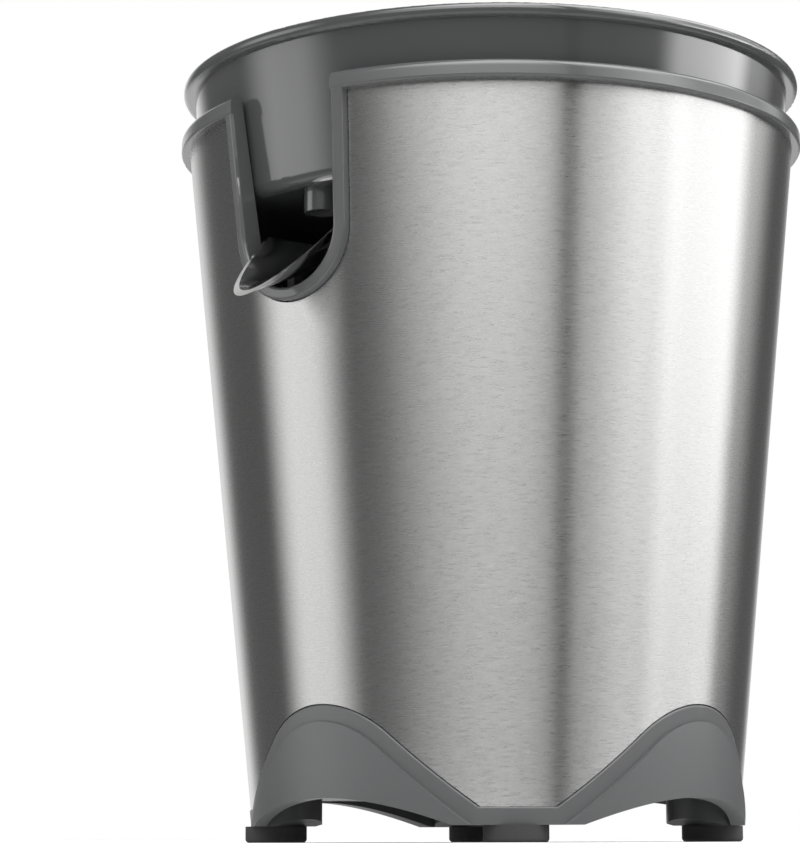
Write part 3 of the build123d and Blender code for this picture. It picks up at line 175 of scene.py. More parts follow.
def emboss(tree, shader, value, depth):
    """A bump of a real depth in metres."""
    bump = step(tree, "ShaderNodeBump", [("Height", value), ("Distance", depth), ("Strength", 1.0)])
    tree.links.new(bump.outputs["Normal"], shader.inputs["Normal"])


print("grey 100 is", [round(c, 3) for c in grey(100)])

# %% [markdown]
# ### Brushed steel of the sleeve
# The sleeve is rolled from sheet that was brushed round the body. Seen close, the brushing is
# thousands of level scratches a few millimetres long and a quarter of a millimetre wide, so one
# noise is squeezed fourteen times in height, and a second, finer one breaks its lines up. Brushing
# also spreads every reflection up and down the wall but hardly sideways, which is why a brushed
# can shows upright streaks: the shader's anisotropy does that, with its tangent turned from round
# the axis to up the wall.

# %% Brushed steel
STEEL = (0.62, 0.62, 0.615)
BRUSHED_ROUGHNESS = 0.28
UP_THE_WALL = 0.25  # of a full turn
SCRATCHES = (260, (1, 1, 14), 2.0)  # per metre, squeeze, detail
BREAKS = (800, (1, 1, 5), 1.0)
SCRATCH_DEPTH = 0.0005 * MM

brushing = {"Anisotropic": 1.0, "Anisotropic_Rotation": UP_THE_WALL}
finish, tree, shader = start_finish(
    "brushed_sleeve_steel", STEEL, BRUSHED_ROUGHNESS, 1.0, **brushing
)
tangent = step(tree, "ShaderNodeTangent", direction_type="RADIAL", axis="Z")
tree.links.new(tangent.outputs["Tangent"], shader.inputs["Tangent"])
scratches = pattern(tree, *SCRATCHES)
both = sums(tree, "MULTIPLY", sums(tree, "ADD", scratches, pattern(tree, *BREAKS)), 0.5)
tint(tree, shader, both, STEEL, 0.1)
gloss(tree, shader, scratches, BRUSHED_ROUGHNESS, 0.05)
emboss(tree, shader, both, SCRATCH_DEPTH)
finishes = {"sleeve_steel": finish}
print("brushed steel ready")

# %% [markdown]
# ### Moulded plastic
# The collar is a glossy grey, the bowl is darker and glossier still, and the base is a satin grey.
# A polished mould leaves hardly any grain, so collar and bowl get a very shallow one and a clear
# coat on top. Base, cone and inner parts come from a spark-textured mould: a noise with grains of
# about half a millimetre, a hundredth of a millimetre deep. A slow noise changes colour and gloss
# across each piece, as the flow of the plastic does. The rubber of the feet is coarser and dull.

# %% Moulded plastics
FLOW = 18  # slow changes of gloss per metre


def moulded(name, colour, roughness, grain, grain_depth, spread=0.05, polish=0.0):
    """A plastic or rubber; grain and its depth are in millimetres."""
    coats = {"Coat_Weight": polish, "Coat_Roughness": 0.05}
    finish, tree, shader = start_finish(name, colour, roughness, **coats)
    slow = pattern(tree, FLOW, detail=3.0)
    tint(tree, shader, slow, colour, spread)
    gloss(tree, shader, slow, roughness, 0.12)
    emboss(tree, shader, pattern(tree, 1 / (grain * MM)), grain_depth * MM)
    return finish


TRIM, BOWL, BASE = grey(90, -0.014), grey(74, -0.016), grey(95, -0.016)
ACETAL = (0.72, 0.715, 0.68)
finishes["trim_plastic"] = moulded("gloss_trim_plastic", TRIM, 0.22, 0.9, 0.0003, polish=0.5)
finishes["bowl_plastic"] = moulded("gloss_bowl_plastic", BOWL, 0.16, 0.9, 0.0003, polish=1.0)
base_finish = moulded("satin_base_plastic", BASE, 0.36, 0.45, 0.008)
finishes["cone_plastic"] = moulded("cone_plastic", grey(62, -0.012), 0.3, 0.6, 0.008)
finishes["inner_plastic"] = moulded("inner_plastic", grey(150, -0.01), 0.5, 0.4, 0.012)
finishes["acetal"] = moulded("natural_acetal", ACETAL, 0.38, 0.5, 0.008, 0.03)
finishes["rubber"] = moulded("foot_rubber", grey(60), 0.78, 0.25, 0.02, 0.12)
print("finishes so far:", len(finishes))

# %% [markdown]
# ### Other metals
# The spout is polished, with faint smears. The strainer is pressed sheet, shafts and screws are
# turned and plated, the bearings are sintered bronze with open pores, the motor's core is a pile
# of oiled sheets, and the coil is varnished copper wire. One recipe makes them all: a noise for
# the marks, stretched as the tool went, and a slower one for the smears.

# %% Other metals
SMEARS = 40  # per metre


def metal(name, colour, roughness, scale, stretch, spread, depth):
    """A metal with marks of so many per metre; their depth is in millimetres."""
    finish, tree, shader = start_finish(name, colour, roughness, 1.0)
    marks = pattern(tree, scale, stretch, 3.0)
    tint(tree, shader, marks, colour, spread)
    gloss(tree, shader, pattern(tree, SMEARS), roughness, 0.3)
    emboss(tree, shader, marks, depth * MM)
    return finish


EVEN, ROLLED, DRAWN = (1, 1, 1), (1, 1, 4), (1, 1, 8)
METALS = {
    "spout_steel": ("polished_spout_steel", (0.66, 0.66, 0.655), 0.12, 300, EVEN, 0.03, 0.001),
    "strainer_steel": ("pressed_strainer_steel", (0.6, 0.6, 0.595), 0.26, 500, ROLLED, 0.05, 0.003),
    "bright_steel": ("plated_steel", (0.55, 0.55, 0.56), 0.25, 400, DRAWN, 0.08, 0.004),
    "bronze": ("sintered_bronze", (0.45, 0.3, 0.14), 0.42, 2500, EVEN, 0.25, 0.02),
    "lamination": ("sheet_pile", (0.22, 0.22, 0.24), 0.45, 150, (0.2, 0.2, 14), 0.35, 0.05),
    "copper": ("varnished_copper", (0.5, 0.22, 0.1), 0.3, 600, (4, 1, 1), 0.12, 0.004),
}
for slot_name, recipe in METALS.items():
    finishes[slot_name] = metal(*recipe)
print("metals ready, finishes:", len(finishes))

# %% Give every solid the finish of its slot
slots = {s["node"]: s["material_slot"] for s in frame["record"]["subparts"]}
for node, slot_name in slots.items():
    for material_slot in nodes[node].material_slots:
        material_slot.material = finishes[slot_name]
print("finishes on", len(nodes), "solids")

# %% [markdown]
# ## Smooth coats for the round mouldings
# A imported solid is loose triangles, and where its surface was closed round the axis the light
# breaks at a seam. Its rounded edges are coarse too, and on glossy plastic and steel both show.
# Each large piece therefore gets a coat: a copy of its solid with the corners merged, which keeps
# the solid's own normals. Edges that reach too far round the axis, or bend too much, are halved,
# and each new corner is put on the true round face. The normals of a turned face are then pointed
# exactly away from the axis, with one tilt for each ring. Modelling the same outlines again would
# only risk a shape that differs from the solid.


# %% Helpers for pieces
def add_object(name, data):
    """A new object in the scene."""
    item = bpy.data.objects.new(name, data)
    bpy.context.scene.collection.objects.link(item)
    return item


def stands_for(piece, node):
    """The piece rides with the body of the solid that it replaces and is tagged with it; the solid
    is hidden.
    """
    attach(piece, nodes[node]["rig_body"])
    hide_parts(node)


print("piece helpers ready")

# %% Cutting the round faces finer
NEAR_AXIS = 15 * MM  # edges closer in are fine enough as they are
SHORT_EDGE = 0.15 * MM
SHORT_TURN, LONG_TURN = math.radians(1.6), math.radians(14)
SHARP_BEND = math.radians(12)
MOST_CUTS = 3
SAME_MIDDLE = 0.001 * MM


def corner_normal(face, vertex, slope):
    """The solid's own normal at one corner of a face."""
    return next(c for c in face.loops if c.vert == vertex)[slope]


def end_normals(edge, slope):
    """The solid's own normals at the two ends of an edge."""
    return [corner_normal(edge.link_faces[0], v, slope) for v in edge.verts]


def turn_between(first, last):
    """Angle round the axis from one corner to another, the short way."""
    turn = math.atan2(last.y, last.x) - math.atan2(first.y, first.x)
    return (turn + math.pi) % (2 * math.pi) - math.pi


def in_section(place, vector):
    """A vector in the upright section through a place: away from the axis, and up."""
    reach = place.xy.length
    return Vector((vector.x * place.x + vector.y * place.y, vector.z * reach)) / reach


def middle_of(edge, slope):
    """Where the middle of an edge belongs: half the turn, and bowed out as its normals say."""
    first, last = (v.co for v in edge.verts)
    low, high = Vector((first.xy.length, first.z)), Vector((last.xy.length, last.z))
    spot = (low + high) / 2
    if edge.smooth:
        chords = (high - low, low - high)
        for place, tilt, chord in zip((first, last), end_normals(edge, slope), chords):
            lean = in_section(place, tilt)
            spot = spot - lean * chord.dot(lean) / 8
    turn = math.atan2(first.y, first.x) + turn_between(first, last) / 2
    return Vector((spot.x * math.cos(turn), spot.x * math.sin(turn), spot.y))


def needs_cut(edge, slope):
    """Whether an edge reaches too far round the axis, or bends too much for its length."""
    first, last = (v.co for v in edge.verts)
    turn = abs(turn_between(first, last))
    if min(first.xy.length, last.xy.length) < NEAR_AXIS or turn > LONG_TURN:
        return False
    start, end = end_normals(edge, slope)
    bent = edge.smooth and start.angle(end, 0.0) > SHARP_BEND
    return turn > SHORT_TURN or (bent and (last - first).length > SHORT_EDGE)


def only_triangles(shape):
    bmesh.ops.triangulate(shape, faces=[f for f in shape.faces if len(f.verts) > 3])


def round_out(shape, slope):
    """Halves the long and the bent edges, and puts each new corner on the turned face."""
    for _ in range(MOST_CUTS):
        wide = [e for e in shape.edges if len(e.link_faces) == 2 and needs_cut(e, slope)]
        if not wide:
            break
        targets = [middle_of(e, slope) for e in wide]
        lookup = KDTree(len(wide))
        for i, edge in enumerate(wide):
            lookup.insert((edge.verts[0].co + edge.verts[1].co) / 2, i)
        lookup.balance()
        known = len(shape.verts)
        bmesh.ops.subdivide_edges(shape, edges=wide, cuts=1)
        shape.verts.ensure_lookup_table()
        for vertex in shape.verts[known:]:
            _, i, distance = lookup.find(vertex.co)
            if distance < SAME_MIDDLE:
                vertex.co = targets[i]
        only_triangles(shape)


print("edges are cut where they turn more than", round(math.degrees(SHORT_TURN), 1), "degrees")

# %% A merged copy with the solid's own normals
CREASE = math.radians(20)
ON_ROUND = 0.004 * MM
LIKE_BEFORE = math.radians(45)
SAME_CORNER, COAT_SLIVER = 0.002 * MM, 0.001 * MM


def is_smooth(edge, slope):
    """Whether the solid's own normals agree across an edge."""
    if len(edge.link_faces) != 2:
        return False
    for vertex in edge.verts:
        first, last = (corner_normal(f, vertex, slope) for f in edge.link_faces)
        if first.angle(last, 0.0) > CREASE:
            return False
    return True


def on_round(place, normal, rounds):
    """The true normal of a corner on a rounded edge, given by reach, height and radius in mm."""
    for reach, height, radius in rounds:
        arm = Vector((place.xy.length, place.z)) - Vector((reach, height)) * MM
        if abs(arm.length - radius * MM) < ON_ROUND:
            lean, out = arm.normalized(), place.xy.normalized()
            true_normal = Vector((out.x * lean.x, out.y * lean.x, lean.y))
            if true_normal.angle(normal, 0.0) < LIKE_BEFORE:
                return true_normal
    return normal


def merged_copy(name, node, turned, rounds):
    """A solid's mesh with merged corners, and the normal of each corner of its faces."""
    mesh = nodes[node].data.copy()
    mesh.name = name
    own_normals = iter([n.vector.copy() for n in mesh.corner_normals])
    if "custom_normal" in mesh.attributes:
        mesh.attributes.remove(mesh.attributes["custom_normal"])
    soup = bmesh.new()
    soup.from_mesh(mesh)
    slope = soup.loops.layers.float_vector.new("slope")
    for face in soup.faces:
        face.smooth = True
        for corner in face.loops:
            corner[slope] = on_round(corner.vert.co, next(own_normals), rounds)
    bmesh.ops.remove_doubles(soup, verts=soup.verts, dist=SAME_CORNER)
    bmesh.ops.dissolve_degenerate(soup, edges=soup.edges, dist=COAT_SLIVER)
    only_triangles(soup)
    for edge in soup.edges:
        edge.smooth = is_smooth(edge, slope)
    if turned:
        round_out(soup, slope)
    normals = [c[slope].normalized() for f in soup.faces for c in f.loops]
    soup.loops.layers.float_vector.remove(slope)
    soup.to_mesh(mesh)
    soup.free()
    return mesh, np.array(normals, np.float32)


print("creases from", round(math.degrees(CREASE)), "degrees")

# %% Normals straight away from the axis
AXIS_TOLERANCE, SAME_TILT = math.radians(5), math.radians(6)
HUB = 5 * MM  # nearer to the axis nothing is changed
NEARLY_LEVEL = 0.02  # flat faces point up or down and have no side to turn
RING_GRID = 0.01 * MM


def read_mesh(items, field, kind, width):
    """One value of every vertex or corner, as an array."""
    values = np.zeros(len(items) * width, kind)
    items.foreach_get(field, values)
    return values


def straighten(mesh, normals):
    """Turns the normals of turned faces away from the axis, ring by ring; returns how many."""
    points = read_mesh(mesh.vertices, "co", np.float32, 3).reshape(-1, 3)
    places = points[read_mesh(mesh.loops, "vertex_index", np.int32, 1)]
    reach = np.linalg.norm(places[:, :2], axis=1)
    level = np.linalg.norm(normals[:, :2], axis=1)
    outward = places[:, :2] / np.maximum(reach, SAME_CORNER)[:, None]
    facing = (normals[:, :2] * outward).sum(axis=1)
    from_axis = np.abs(facing) > level * math.cos(AXIS_TOLERANCE)
    turned_face = from_axis & (level > NEARLY_LEVEL) & (reach > HUB)
    rings = {}
    for i in np.nonzero(turned_face)[0]:
        key = (round(float(reach[i]) / RING_GRID), round(float(places[i, 2]) / RING_GRID))
        tilt = math.atan2(float(normals[i, 2]), float(np.sign(facing[i]) * level[i]))
        rings.setdefault(key, []).append((tilt, i))
    for ring in rings.values():
        cluster = []
        for tilt, i in sorted(ring) + [(math.inf, -1)]:
            if cluster and tilt - cluster[-1][0] > SAME_TILT:
                mean = sum(t for t, _ in cluster) / len(cluster)
                for _, k in cluster:
                    normals[k, :2] = outward[k] * math.cos(mean)
                    normals[k, 2] = math.sin(mean)
                cluster = []
            cluster.append((tilt, i))
    return int(turned_face.sum())


def coat(name, node, finish, turned=True, rounds=()):
    """A smooth copy that stands for a solid."""
    mesh, normals = merged_copy(name, node, turned, rounds)
    straight = straighten(mesh, normals)
    mesh.normals_split_custom_set(normals.tolist())
    mesh.materials.clear()
    mesh.materials.append(finish)
    stands_for(add_object(name, mesh), node)
    print(name, "has", len(mesh.polygons), "faces,", straight, "normals set from the axis")


# %% Coats for sleeve, mouldings and pressings
COLLAR_ROUNDS = [(89.7, 198.8, 0.8), (88.6, 201.0, 1.9)]
coat("brushed_sleeve", "steel_shell", finishes["sleeve_steel"])
coat("collar_moulding", "top_collar", finishes["trim_plastic"], rounds=COLLAR_ROUNDS)
coat("bowl_moulding", "juice_bowl", finishes["bowl_plastic"])
coat("base_moulding", "base", base_finish)
coat("spout_pressing", "spout", finishes["spout_steel"], turned=False)
coat("strainer_pressing", "strainer", finishes["strainer_steel"])

# %% [markdown]
# ## Shapes from node trees
# What repeats or follows a rule is made by Geometry Nodes: the ribbed cone, the coil, the spring
# and the screws. Each tree has named inputs for its sizes and is run once on an empty mesh. The
# result is kept as a plain closed mesh, because a live modifier would be lost on export. Cone and
# screws are turned shapes, and turning a section line round the axis is the same for both.

# %% Helpers for shapes
TREE_SLIVER = 0.0005 * MM
SEAM = 0.002 * MM


def node_tree(name, inputs):
    """A Geometry Nodes tree with named inputs; returns it with its input and output sockets."""
    tree = bpy.data.node_groups.new(name, "GeometryNodeTree")
    for label, kind in inputs.items():
        tree.interface.new_socket(label, in_out="INPUT", socket_type="NodeSocket" + kind)
    tree.interface.new_socket("Geometry", in_out="OUTPUT", socket_type="NodeSocketGeometry")
    return tree, step(tree, "NodeGroupInput").outputs, step(tree, "NodeGroupOutput").inputs


def finish_tree(tree, geometry, finish, output):
    """The last steps of every tree: real geometry, smooth faces, one finish."""
    real = step(tree, "GeometryNodeRealizeInstances", [("Geometry", geometry)]).outputs[0]
    smooth = step(tree, "GeometryNodeSetShadeSmooth", [("Geometry", real)]).outputs[0]
    dressing = [("Geometry", smooth), ("Material", finish)]
    dressed = step(tree, "GeometryNodeSetMaterial", dressing).outputs[0]
    tree.links.new(dressed, output["Geometry"])


def grow(name, tree, values, crease):
    """Runs a tree on an empty mesh and keeps the result as a plain closed mesh."""
    seedling = add_object(name + "_seed", bpy.data.meshes.new(name + "_seed"))
    modifier = seedling.modifiers.new(name, "NODES")
    modifier.node_group = tree
    sockets = {s.name: s.identifier for s in tree.interface.items_tree if s.in_out == "INPUT"}
    for label, value in values.items():
        modifier[sockets[label]] = value
    bpy.context.view_layer.update()
    grown = seedling.evaluated_get(bpy.context.evaluated_depsgraph_get())
    mesh = bpy.data.meshes.new_from_object(grown)
    seedling.modifiers.remove(modifier)
    bpy.data.objects.remove(seedling)
    mesh.name = name
    shape = bmesh.new()
    shape.from_mesh(mesh)
    bmesh.ops.dissolve_degenerate(shape, edges=shape.edges, dist=TREE_SLIVER)
    bmesh.ops.recalc_face_normals(shape, faces=shape.faces)
    open_edges = sum(1 for e in shape.edges if not e.is_manifold)
    shape.to_mesh(mesh)
    shape.free()
    mesh.set_sharp_from_angle(angle=math.radians(crease))
    print(name, "has", len(mesh.polygons), "faces and", open_edges, "open edges")
    return add_object(name, mesh)


print("shape helpers ready")


# %% Helpers for turned shapes
def line_object(name, points):
    """The points of a section line, in mm from the axis and mm up, as an object to read."""
    mesh = bpy.data.meshes.new(name)
    mesh.from_pydata([(x * MM, 0, z * MM) for x, z in points], [], [])
    return add_object(name, mesh)


def line_points(tree, line):
    """A section line's points, and how many there are."""
    points = step(tree, "GeometryNodeObjectInfo", [("Object", line)]).outputs["Geometry"]
    counted = step(tree, "GeometryNodeAttributeDomainSize", [("Geometry", points)])
    return points, counted.outputs["Point Count"]


def turned_sheet(tree, rows, segments):
    """A grid with a row for each point of a line; returns it, the row's number and the turn."""
    columns = sums(tree, "ADD", segments, 1.0)
    size = [("Size X", 1.0), ("Size Y", 1.0), ("Vertices X", columns), ("Vertices Y", rows)]
    sheet = step(tree, "GeometryNodeMeshGrid", size).outputs["Mesh"]
    index = step(tree, "GeometryNodeInputIndex").outputs[0]
    row = sums(tree, "FLOORED_MODULO", index, rows)
    column = sums(tree, "FLOOR", sums(tree, "DIVIDE", index, rows))
    share = sums(tree, "DIVIDE", column, segments)
    return sheet, row, sums(tree, "MULTIPLY", share, 2 * math.pi)


def read_line(tree, points, row):
    """Where the section line's point for a row lies."""
    place = step(tree, "GeometryNodeInputPosition").outputs[0]
    links = [("Geometry", points), ("Value", place), ("Index", row)]
    return step(tree, "GeometryNodeSampleIndex", links, data_type="FLOAT_VECTOR").outputs[0]


def wrap(tree, sheet, place, turn):
    """Swings every point of a sheet from the section round the axis, and closes the seam."""
    flat = step(tree, "ShaderNodeSeparateXYZ", [("Vector", place)]).outputs
    across = sums(tree, "MULTIPLY", flat["X"], sums(tree, "COSINE", turn))
    along = sums(tree, "MULTIPLY", flat["X"], sums(tree, "SINE", turn))
    swung = [("X", across), ("Y", along), ("Z", flat["Z"])]
    spot = step(tree, "ShaderNodeCombineXYZ", swung).outputs[0]
    moved = step(tree, "GeometryNodeSetPosition", [("Geometry", sheet), ("Position", spot)])
    closing = [("Geometry", moved.outputs[0]), ("Distance", SEAM)]
    return step(tree, "GeometryNodeMergeByDistance", closing).outputs[0]


print("seams close within", SEAM / MM, "mm")

# %% [markdown]
# ## Cone
# The cone is one moulding: a stepped bore for its bearing and drive insert, a thin skirt, and ten
# ribs that run up to the tip and open the fruit. Two lines describe it, one drawn through a rib
# and one through a valley. The tree turns a grid round the axis and slides every point between
# those two lines with a wave of ten crests, so the ribs melt into the valleys as on a real
# moulding. Ribs joined on one by one would leave hard corners.

# %% Lines of the cone
ARC_STEPS = 36


def arc_points(first, middle, last):
    """Points of the circle through three points of a section, without the last one."""
    (ax, az), (bx, bz), (cx, cz) = first, middle, last
    d = 2 * (ax * (bz - cz) + bx * (cz - az) + cx * (az - bz))
    a2, b2, c2 = ax * ax + az * az, bx * bx + bz * bz, cx * cx + cz * cz
    mx = (a2 * (bz - cz) + b2 * (cz - az) + c2 * (az - bz)) / d
    mz = (a2 * (cx - bx) + b2 * (ax - cx) + c2 * (bx - ax)) / d
    start, end = math.atan2(az - mz, ax - mx), math.atan2(cz - mz, cx - mx)
    radius = math.hypot(ax - mx, az - mz)
    turns = [start + (end - start) * i / ARC_STEPS for i in range(ARC_STEPS)]
    return [(mx + radius * math.cos(t), mz + radius * math.sin(t)) for t in turns]


BORE = [(0, 223.5), (8.05, 223.5), (8.05, 206.5), (14.1, 206.5), (14.1, 199), (17.1, 199)]
SKIRT = [(17.1, 217.3), (23.8, 199.4), (24.2, 199), (35.6, 199), (36, 199.4), (36, 200.6)]
UNDERSIDE = BORE + SKIRT + [(35.6, 201)]
RIB_ARC = arc_points((33.5, 201), (25.5, 221.36), (2.5, 242))
VALLEY_ARC = arc_points((28, 201), (21.5, 221.36), (2.5, 239.5))
RIB_LINE = UNDERSIDE + RIB_ARC + [(2.5, 242), (1.6, 242.0), (0, 242)]
VALLEY_LINE = UNDERSIDE + VALLEY_ARC + [(2.5, 239.5), (1.6, 240.9), (0, 242)]
rib_line = line_object("rib_line", RIB_LINE)
valley_line = line_object("valley_line", VALLEY_LINE)
print("section lines with", len(RIB_LINE), "and", len(VALLEY_LINE), "points")

# %% Tree of the cone
CONE_INPUTS = {"Rib line": "Object", "Valley line": "Object", "Ribs": "Int"}
CONE_INPUTS.update({"Sharpness": "Float", "Segments": "Int", "Finish": "Material"})
cone_tree, given, cone_out = node_tree("ribbed_cone", CONE_INPUTS)
rib_points, rows = line_points(cone_tree, given["Rib line"])
valley_points, _ = line_points(cone_tree, given["Valley line"])
sheet, row, turn = turned_sheet(cone_tree, rows, given["Segments"])
wave = sums(cone_tree, "COSINE", sums(cone_tree, "MULTIPLY", turn, given["Ribs"]))
lifted = sums(cone_tree, "MULTIPLY_ADD", wave, 0.5, 0.5)
crest = sums(cone_tree, "POWER", lifted, given["Sharpness"])
valley_place = read_line(cone_tree, valley_points, row)
rib_place = read_line(cone_tree, rib_points, row)
# A vector Mix has its factor at socket 0 and its two ends at sockets 4 and 5.
ends = [(0, crest), (4, valley_place), (5, rib_place)]
melted = step(cone_tree, "ShaderNodeMix", ends, data_type="VECTOR").outputs[1]
closed = wrap(cone_tree, sheet, melted, turn)
finish_tree(cone_tree, closed, given["Finish"], cone_out)
print("cone tree has", len(cone_tree.nodes), "nodes")

# %% Cone
cone_values = {"Rib line": rib_line, "Valley line": valley_line, "Ribs": 10}
cone_values.update({"Sharpness": 2.6, "Segments": 300, "Finish": finishes["cone_plastic"]})
stands_for(grow("ribbed_cone", cone_tree, cone_values, 40), "cone")
for line in (rib_line, valley_line):
    bpy.data.objects.remove(line)
print("cone with", cone_values["Ribs"], "ribs")

# %% [markdown]
# ## Coil
# The motor's coil is enamelled wire, a millimetre thick, wound in layers on a bobbin. One turn is
# a rectangle with round corners, swept as a tube, and every turn of a layer is the same, so the
# tree sweeps one turn for each layer and sets copies of it side by side along the bobbin. Each
# second layer has one turn less and lies in the hollows of the layer below. A single helix would
# be truer to the wire but no different to the eye.

# %% Tree of the coil
COIL_LAYERS = 3
LAYER_PITCH = 1.8  # wires that a layer takes off the height and the width
ALONG_X = (0, math.pi / 2, 0)
COIL_INPUTS = {"Width": "Float", "Height": "Float", "Corner": "Float", "Wire": "Float"}
COIL_INPUTS.update({"Turns": "Int", "Middle": "Vector", "Finish": "Material"})
coil_tree, given, coil_out = node_tree("wound_coil", COIL_INPUTS)
wire = given["Wire"]
round_wire = [("Resolution", 10), ("Radius", sums(coil_tree, "MULTIPLY", wire, 0.5))]
wire_ring = step(coil_tree, "GeometryNodeCurvePrimitiveCircle", round_wire).outputs[0]
pile = step(coil_tree, "GeometryNodeJoinGeometry")
for layer in range(COIL_LAYERS):
    inset = sums(coil_tree, "MULTIPLY", wire, 1.0 + LAYER_PITCH * layer)
    tall = sums(coil_tree, "SUBTRACT", given["Height"], inset)
    wide = sums(coil_tree, "SUBTRACT", given["Width"], inset)
    bend = sums(coil_tree, "SUBTRACT", given["Corner"], sums(coil_tree, "MULTIPLY", inset, 0.5))
    size = [("Width", tall), ("Height", wide)]
    oblong = step(coil_tree, "GeometryNodeCurvePrimitiveQuadrilateral", size).outputs[0]
    rounding = [("Curve", oblong), ("Count", 6), ("Radius", bend)]
    rounded = step(coil_tree, "GeometryNodeFilletCurve", rounding, mode="POLY").outputs[0]
    sweep = [("Curve", rounded), ("Profile Curve", wire_ring)]
    one_turn = step(coil_tree, "GeometryNodeCurveToMesh", sweep).outputs[0]
    turns = sums(coil_tree, "SUBTRACT", given["Turns"], float(layer % 2))
    reach = sums(coil_tree, "MULTIPLY", sums(coil_tree, "SUBTRACT", turns, 1.0), wire)
    first_x = sums(coil_tree, "MULTIPLY", reach, -0.5)
    start = step(coil_tree, "ShaderNodeCombineXYZ", [("X", first_x)]).outputs[0]
    stride = step(coil_tree, "ShaderNodeCombineXYZ", [("X", wire)]).outputs[0]
    spots = [("Count", turns), ("Start Location", start), ("Offset", stride)]
    side_by_side = {"mode": "OFFSET", "count_mode": "TOTAL"}
    line = step(coil_tree, "GeometryNodeMeshLine", spots, **side_by_side).outputs[0]
    copies = [("Points", line), ("Instance", one_turn), ("Rotation", ALONG_X)]
    wound = step(coil_tree, "GeometryNodeInstanceOnPoints", copies).outputs[0]
    coil_tree.links.new(wound, pile.inputs[0])
placing = [("Geometry", pile.outputs[0]), ("Translation", given["Middle"])]
placed = step(coil_tree, "GeometryNodeTransform", placing).outputs[0]
finish_tree(coil_tree, placed, given["Finish"], coil_out)
print("coil tree has", len(coil_tree.nodes), "nodes")

# %% Coil
WIRE = 1.0 * MM
ROUNDING_ERROR = 0.01  # of a turn
coil_low, coil_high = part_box("winding")
coil_size = [b - a for a, b in zip(coil_low, coil_high)]
coil_values = {"Width": coil_size[1], "Height": coil_size[2], "Corner": 3.0 * MM, "Wire": WIRE}
coil_values["Turns"] = int(coil_size[0] / WIRE + ROUNDING_ERROR)
coil_values["Middle"] = [(a + b) / 2 for a, b in zip(coil_low, coil_high)]
coil_values["Finish"] = finishes["copper"]
stands_for(grow("wound_coil", coil_tree, coil_values, 60), "winding")
print("coil of", coil_values["Turns"], "turns in", COIL_LAYERS, "layers")

# %% [markdown]
# ## Return spring
# A small wire spring lifts the spindle again when the fruit is taken off, and shortens when it is
# pushed down. A spiral swept as a wire gives it in three nodes. It stands on the gear case, and the
# height that it keeps under the joint's own travel is worked out, but the spring itself is not
# squashed.

# %% Tree of the spring
SPRING_INPUTS = {"Turns": "Float", "Radius": "Float", "Rise": "Float", "Wire": "Float"}
SPRING_INPUTS.update({"Foot": "Vector", "Finish": "Material"})
spring_tree, given, spring_out = node_tree("press_spring", SPRING_INPUTS)
climb = [("Resolution", 40), ("Rotations", given["Turns"]), ("Height", given["Rise"])]
climb += [("Start Radius", given["Radius"]), ("End Radius", given["Radius"])]
spiral = step(spring_tree, "GeometryNodeCurveSpiral", climb).outputs[0]
round_wire = [("Resolution", 12), ("Radius", given["Wire"])]
section = step(spring_tree, "GeometryNodeCurvePrimitiveCircle", round_wire).outputs[0]
sweep = [("Curve", spiral), ("Profile Curve", section), ("Fill Caps", True)]
swept = step(spring_tree, "GeometryNodeCurveToMesh", sweep).outputs[0]
placing = [("Geometry", swept), ("Translation", given["Foot"])]
standing = step(spring_tree, "GeometryNodeTransform", placing).outputs[0]
finish_tree(spring_tree, standing, given["Finish"], spring_out)
print("spring tree has", len(spring_tree.nodes), "nodes")

# %% Spring
SPRING_WIRE = 0.45 * MM  # half its thickness
SPRING_PITCH = 2 * MM
spring_low, spring_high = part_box("return_spring")
spring_tall = spring_high[2] - spring_low[2]
spring_rise = spring_tall - 2 * SPRING_WIRE
spring_values = {"Rise": spring_rise, "Turns": spring_rise / SPRING_PITCH, "Wire": SPRING_WIRE}
spring_values["Radius"] = spring_high[0] - SPRING_WIRE
spring_values["Foot"] = [0, 0, spring_low[2] + SPRING_WIRE]
spring_values["Finish"] = finishes["bright_steel"]
spring_piece = grow("press_spring", spring_tree, spring_values, 60)
stands_for(spring_piece, "return_spring")
press_joint = next(j for j in frame["joints"] if j["name"] == "spindle_press")
spring_keep = 1 - press_joint["range_m"][1] / spring_tall
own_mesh(spring_piece)
pressed_tall = spring_tall * spring_keep
print("spring", round(spring_tall / MM, 2), "mm, pressed", round(pressed_tall / MM, 2), "mm")

# %% [markdown]
# ## Clamp screws
# Four long screws pull base, sleeve and cradle together. Their heads sit in wells under the base.
# A screw is a turned outline with a low domed head, a rounded rim and a pointed end, and a cross
# recess is cut into the head. The tree turns the outline once, cuts the recess, and puts four
# copies on a circle. Painting the cross on would leave nothing for a driver to hold.

# %% Line of a screw
HEAD_RADIUS, SHANK_RADIUS = 4.0, 2.0
screw_low, screw_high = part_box("clamp_screws")
screw_foot, screw_top = screw_low[2] / MM, screw_high[2] / MM
HEAD = [(0, 0), (1.6, 0.05), (3.0, 0.35), (3.75, 0.9), (HEAD_RADIUS, 1.5), (HEAD_RADIUS, 2.4)]
HEAD += [(3.85, 2.6), (SHANK_RADIUS, 2.6)]
SCREW_LINE = [(x, screw_foot + z) for x, z in HEAD]
SCREW_LINE += [(SHANK_RADIUS, screw_top - 1.4), (0.9, screw_top), (0, screw_top)]
screw_line = line_object("screw_line", SCREW_LINE)
print("screw", round(screw_top - screw_foot, 1), "mm long")

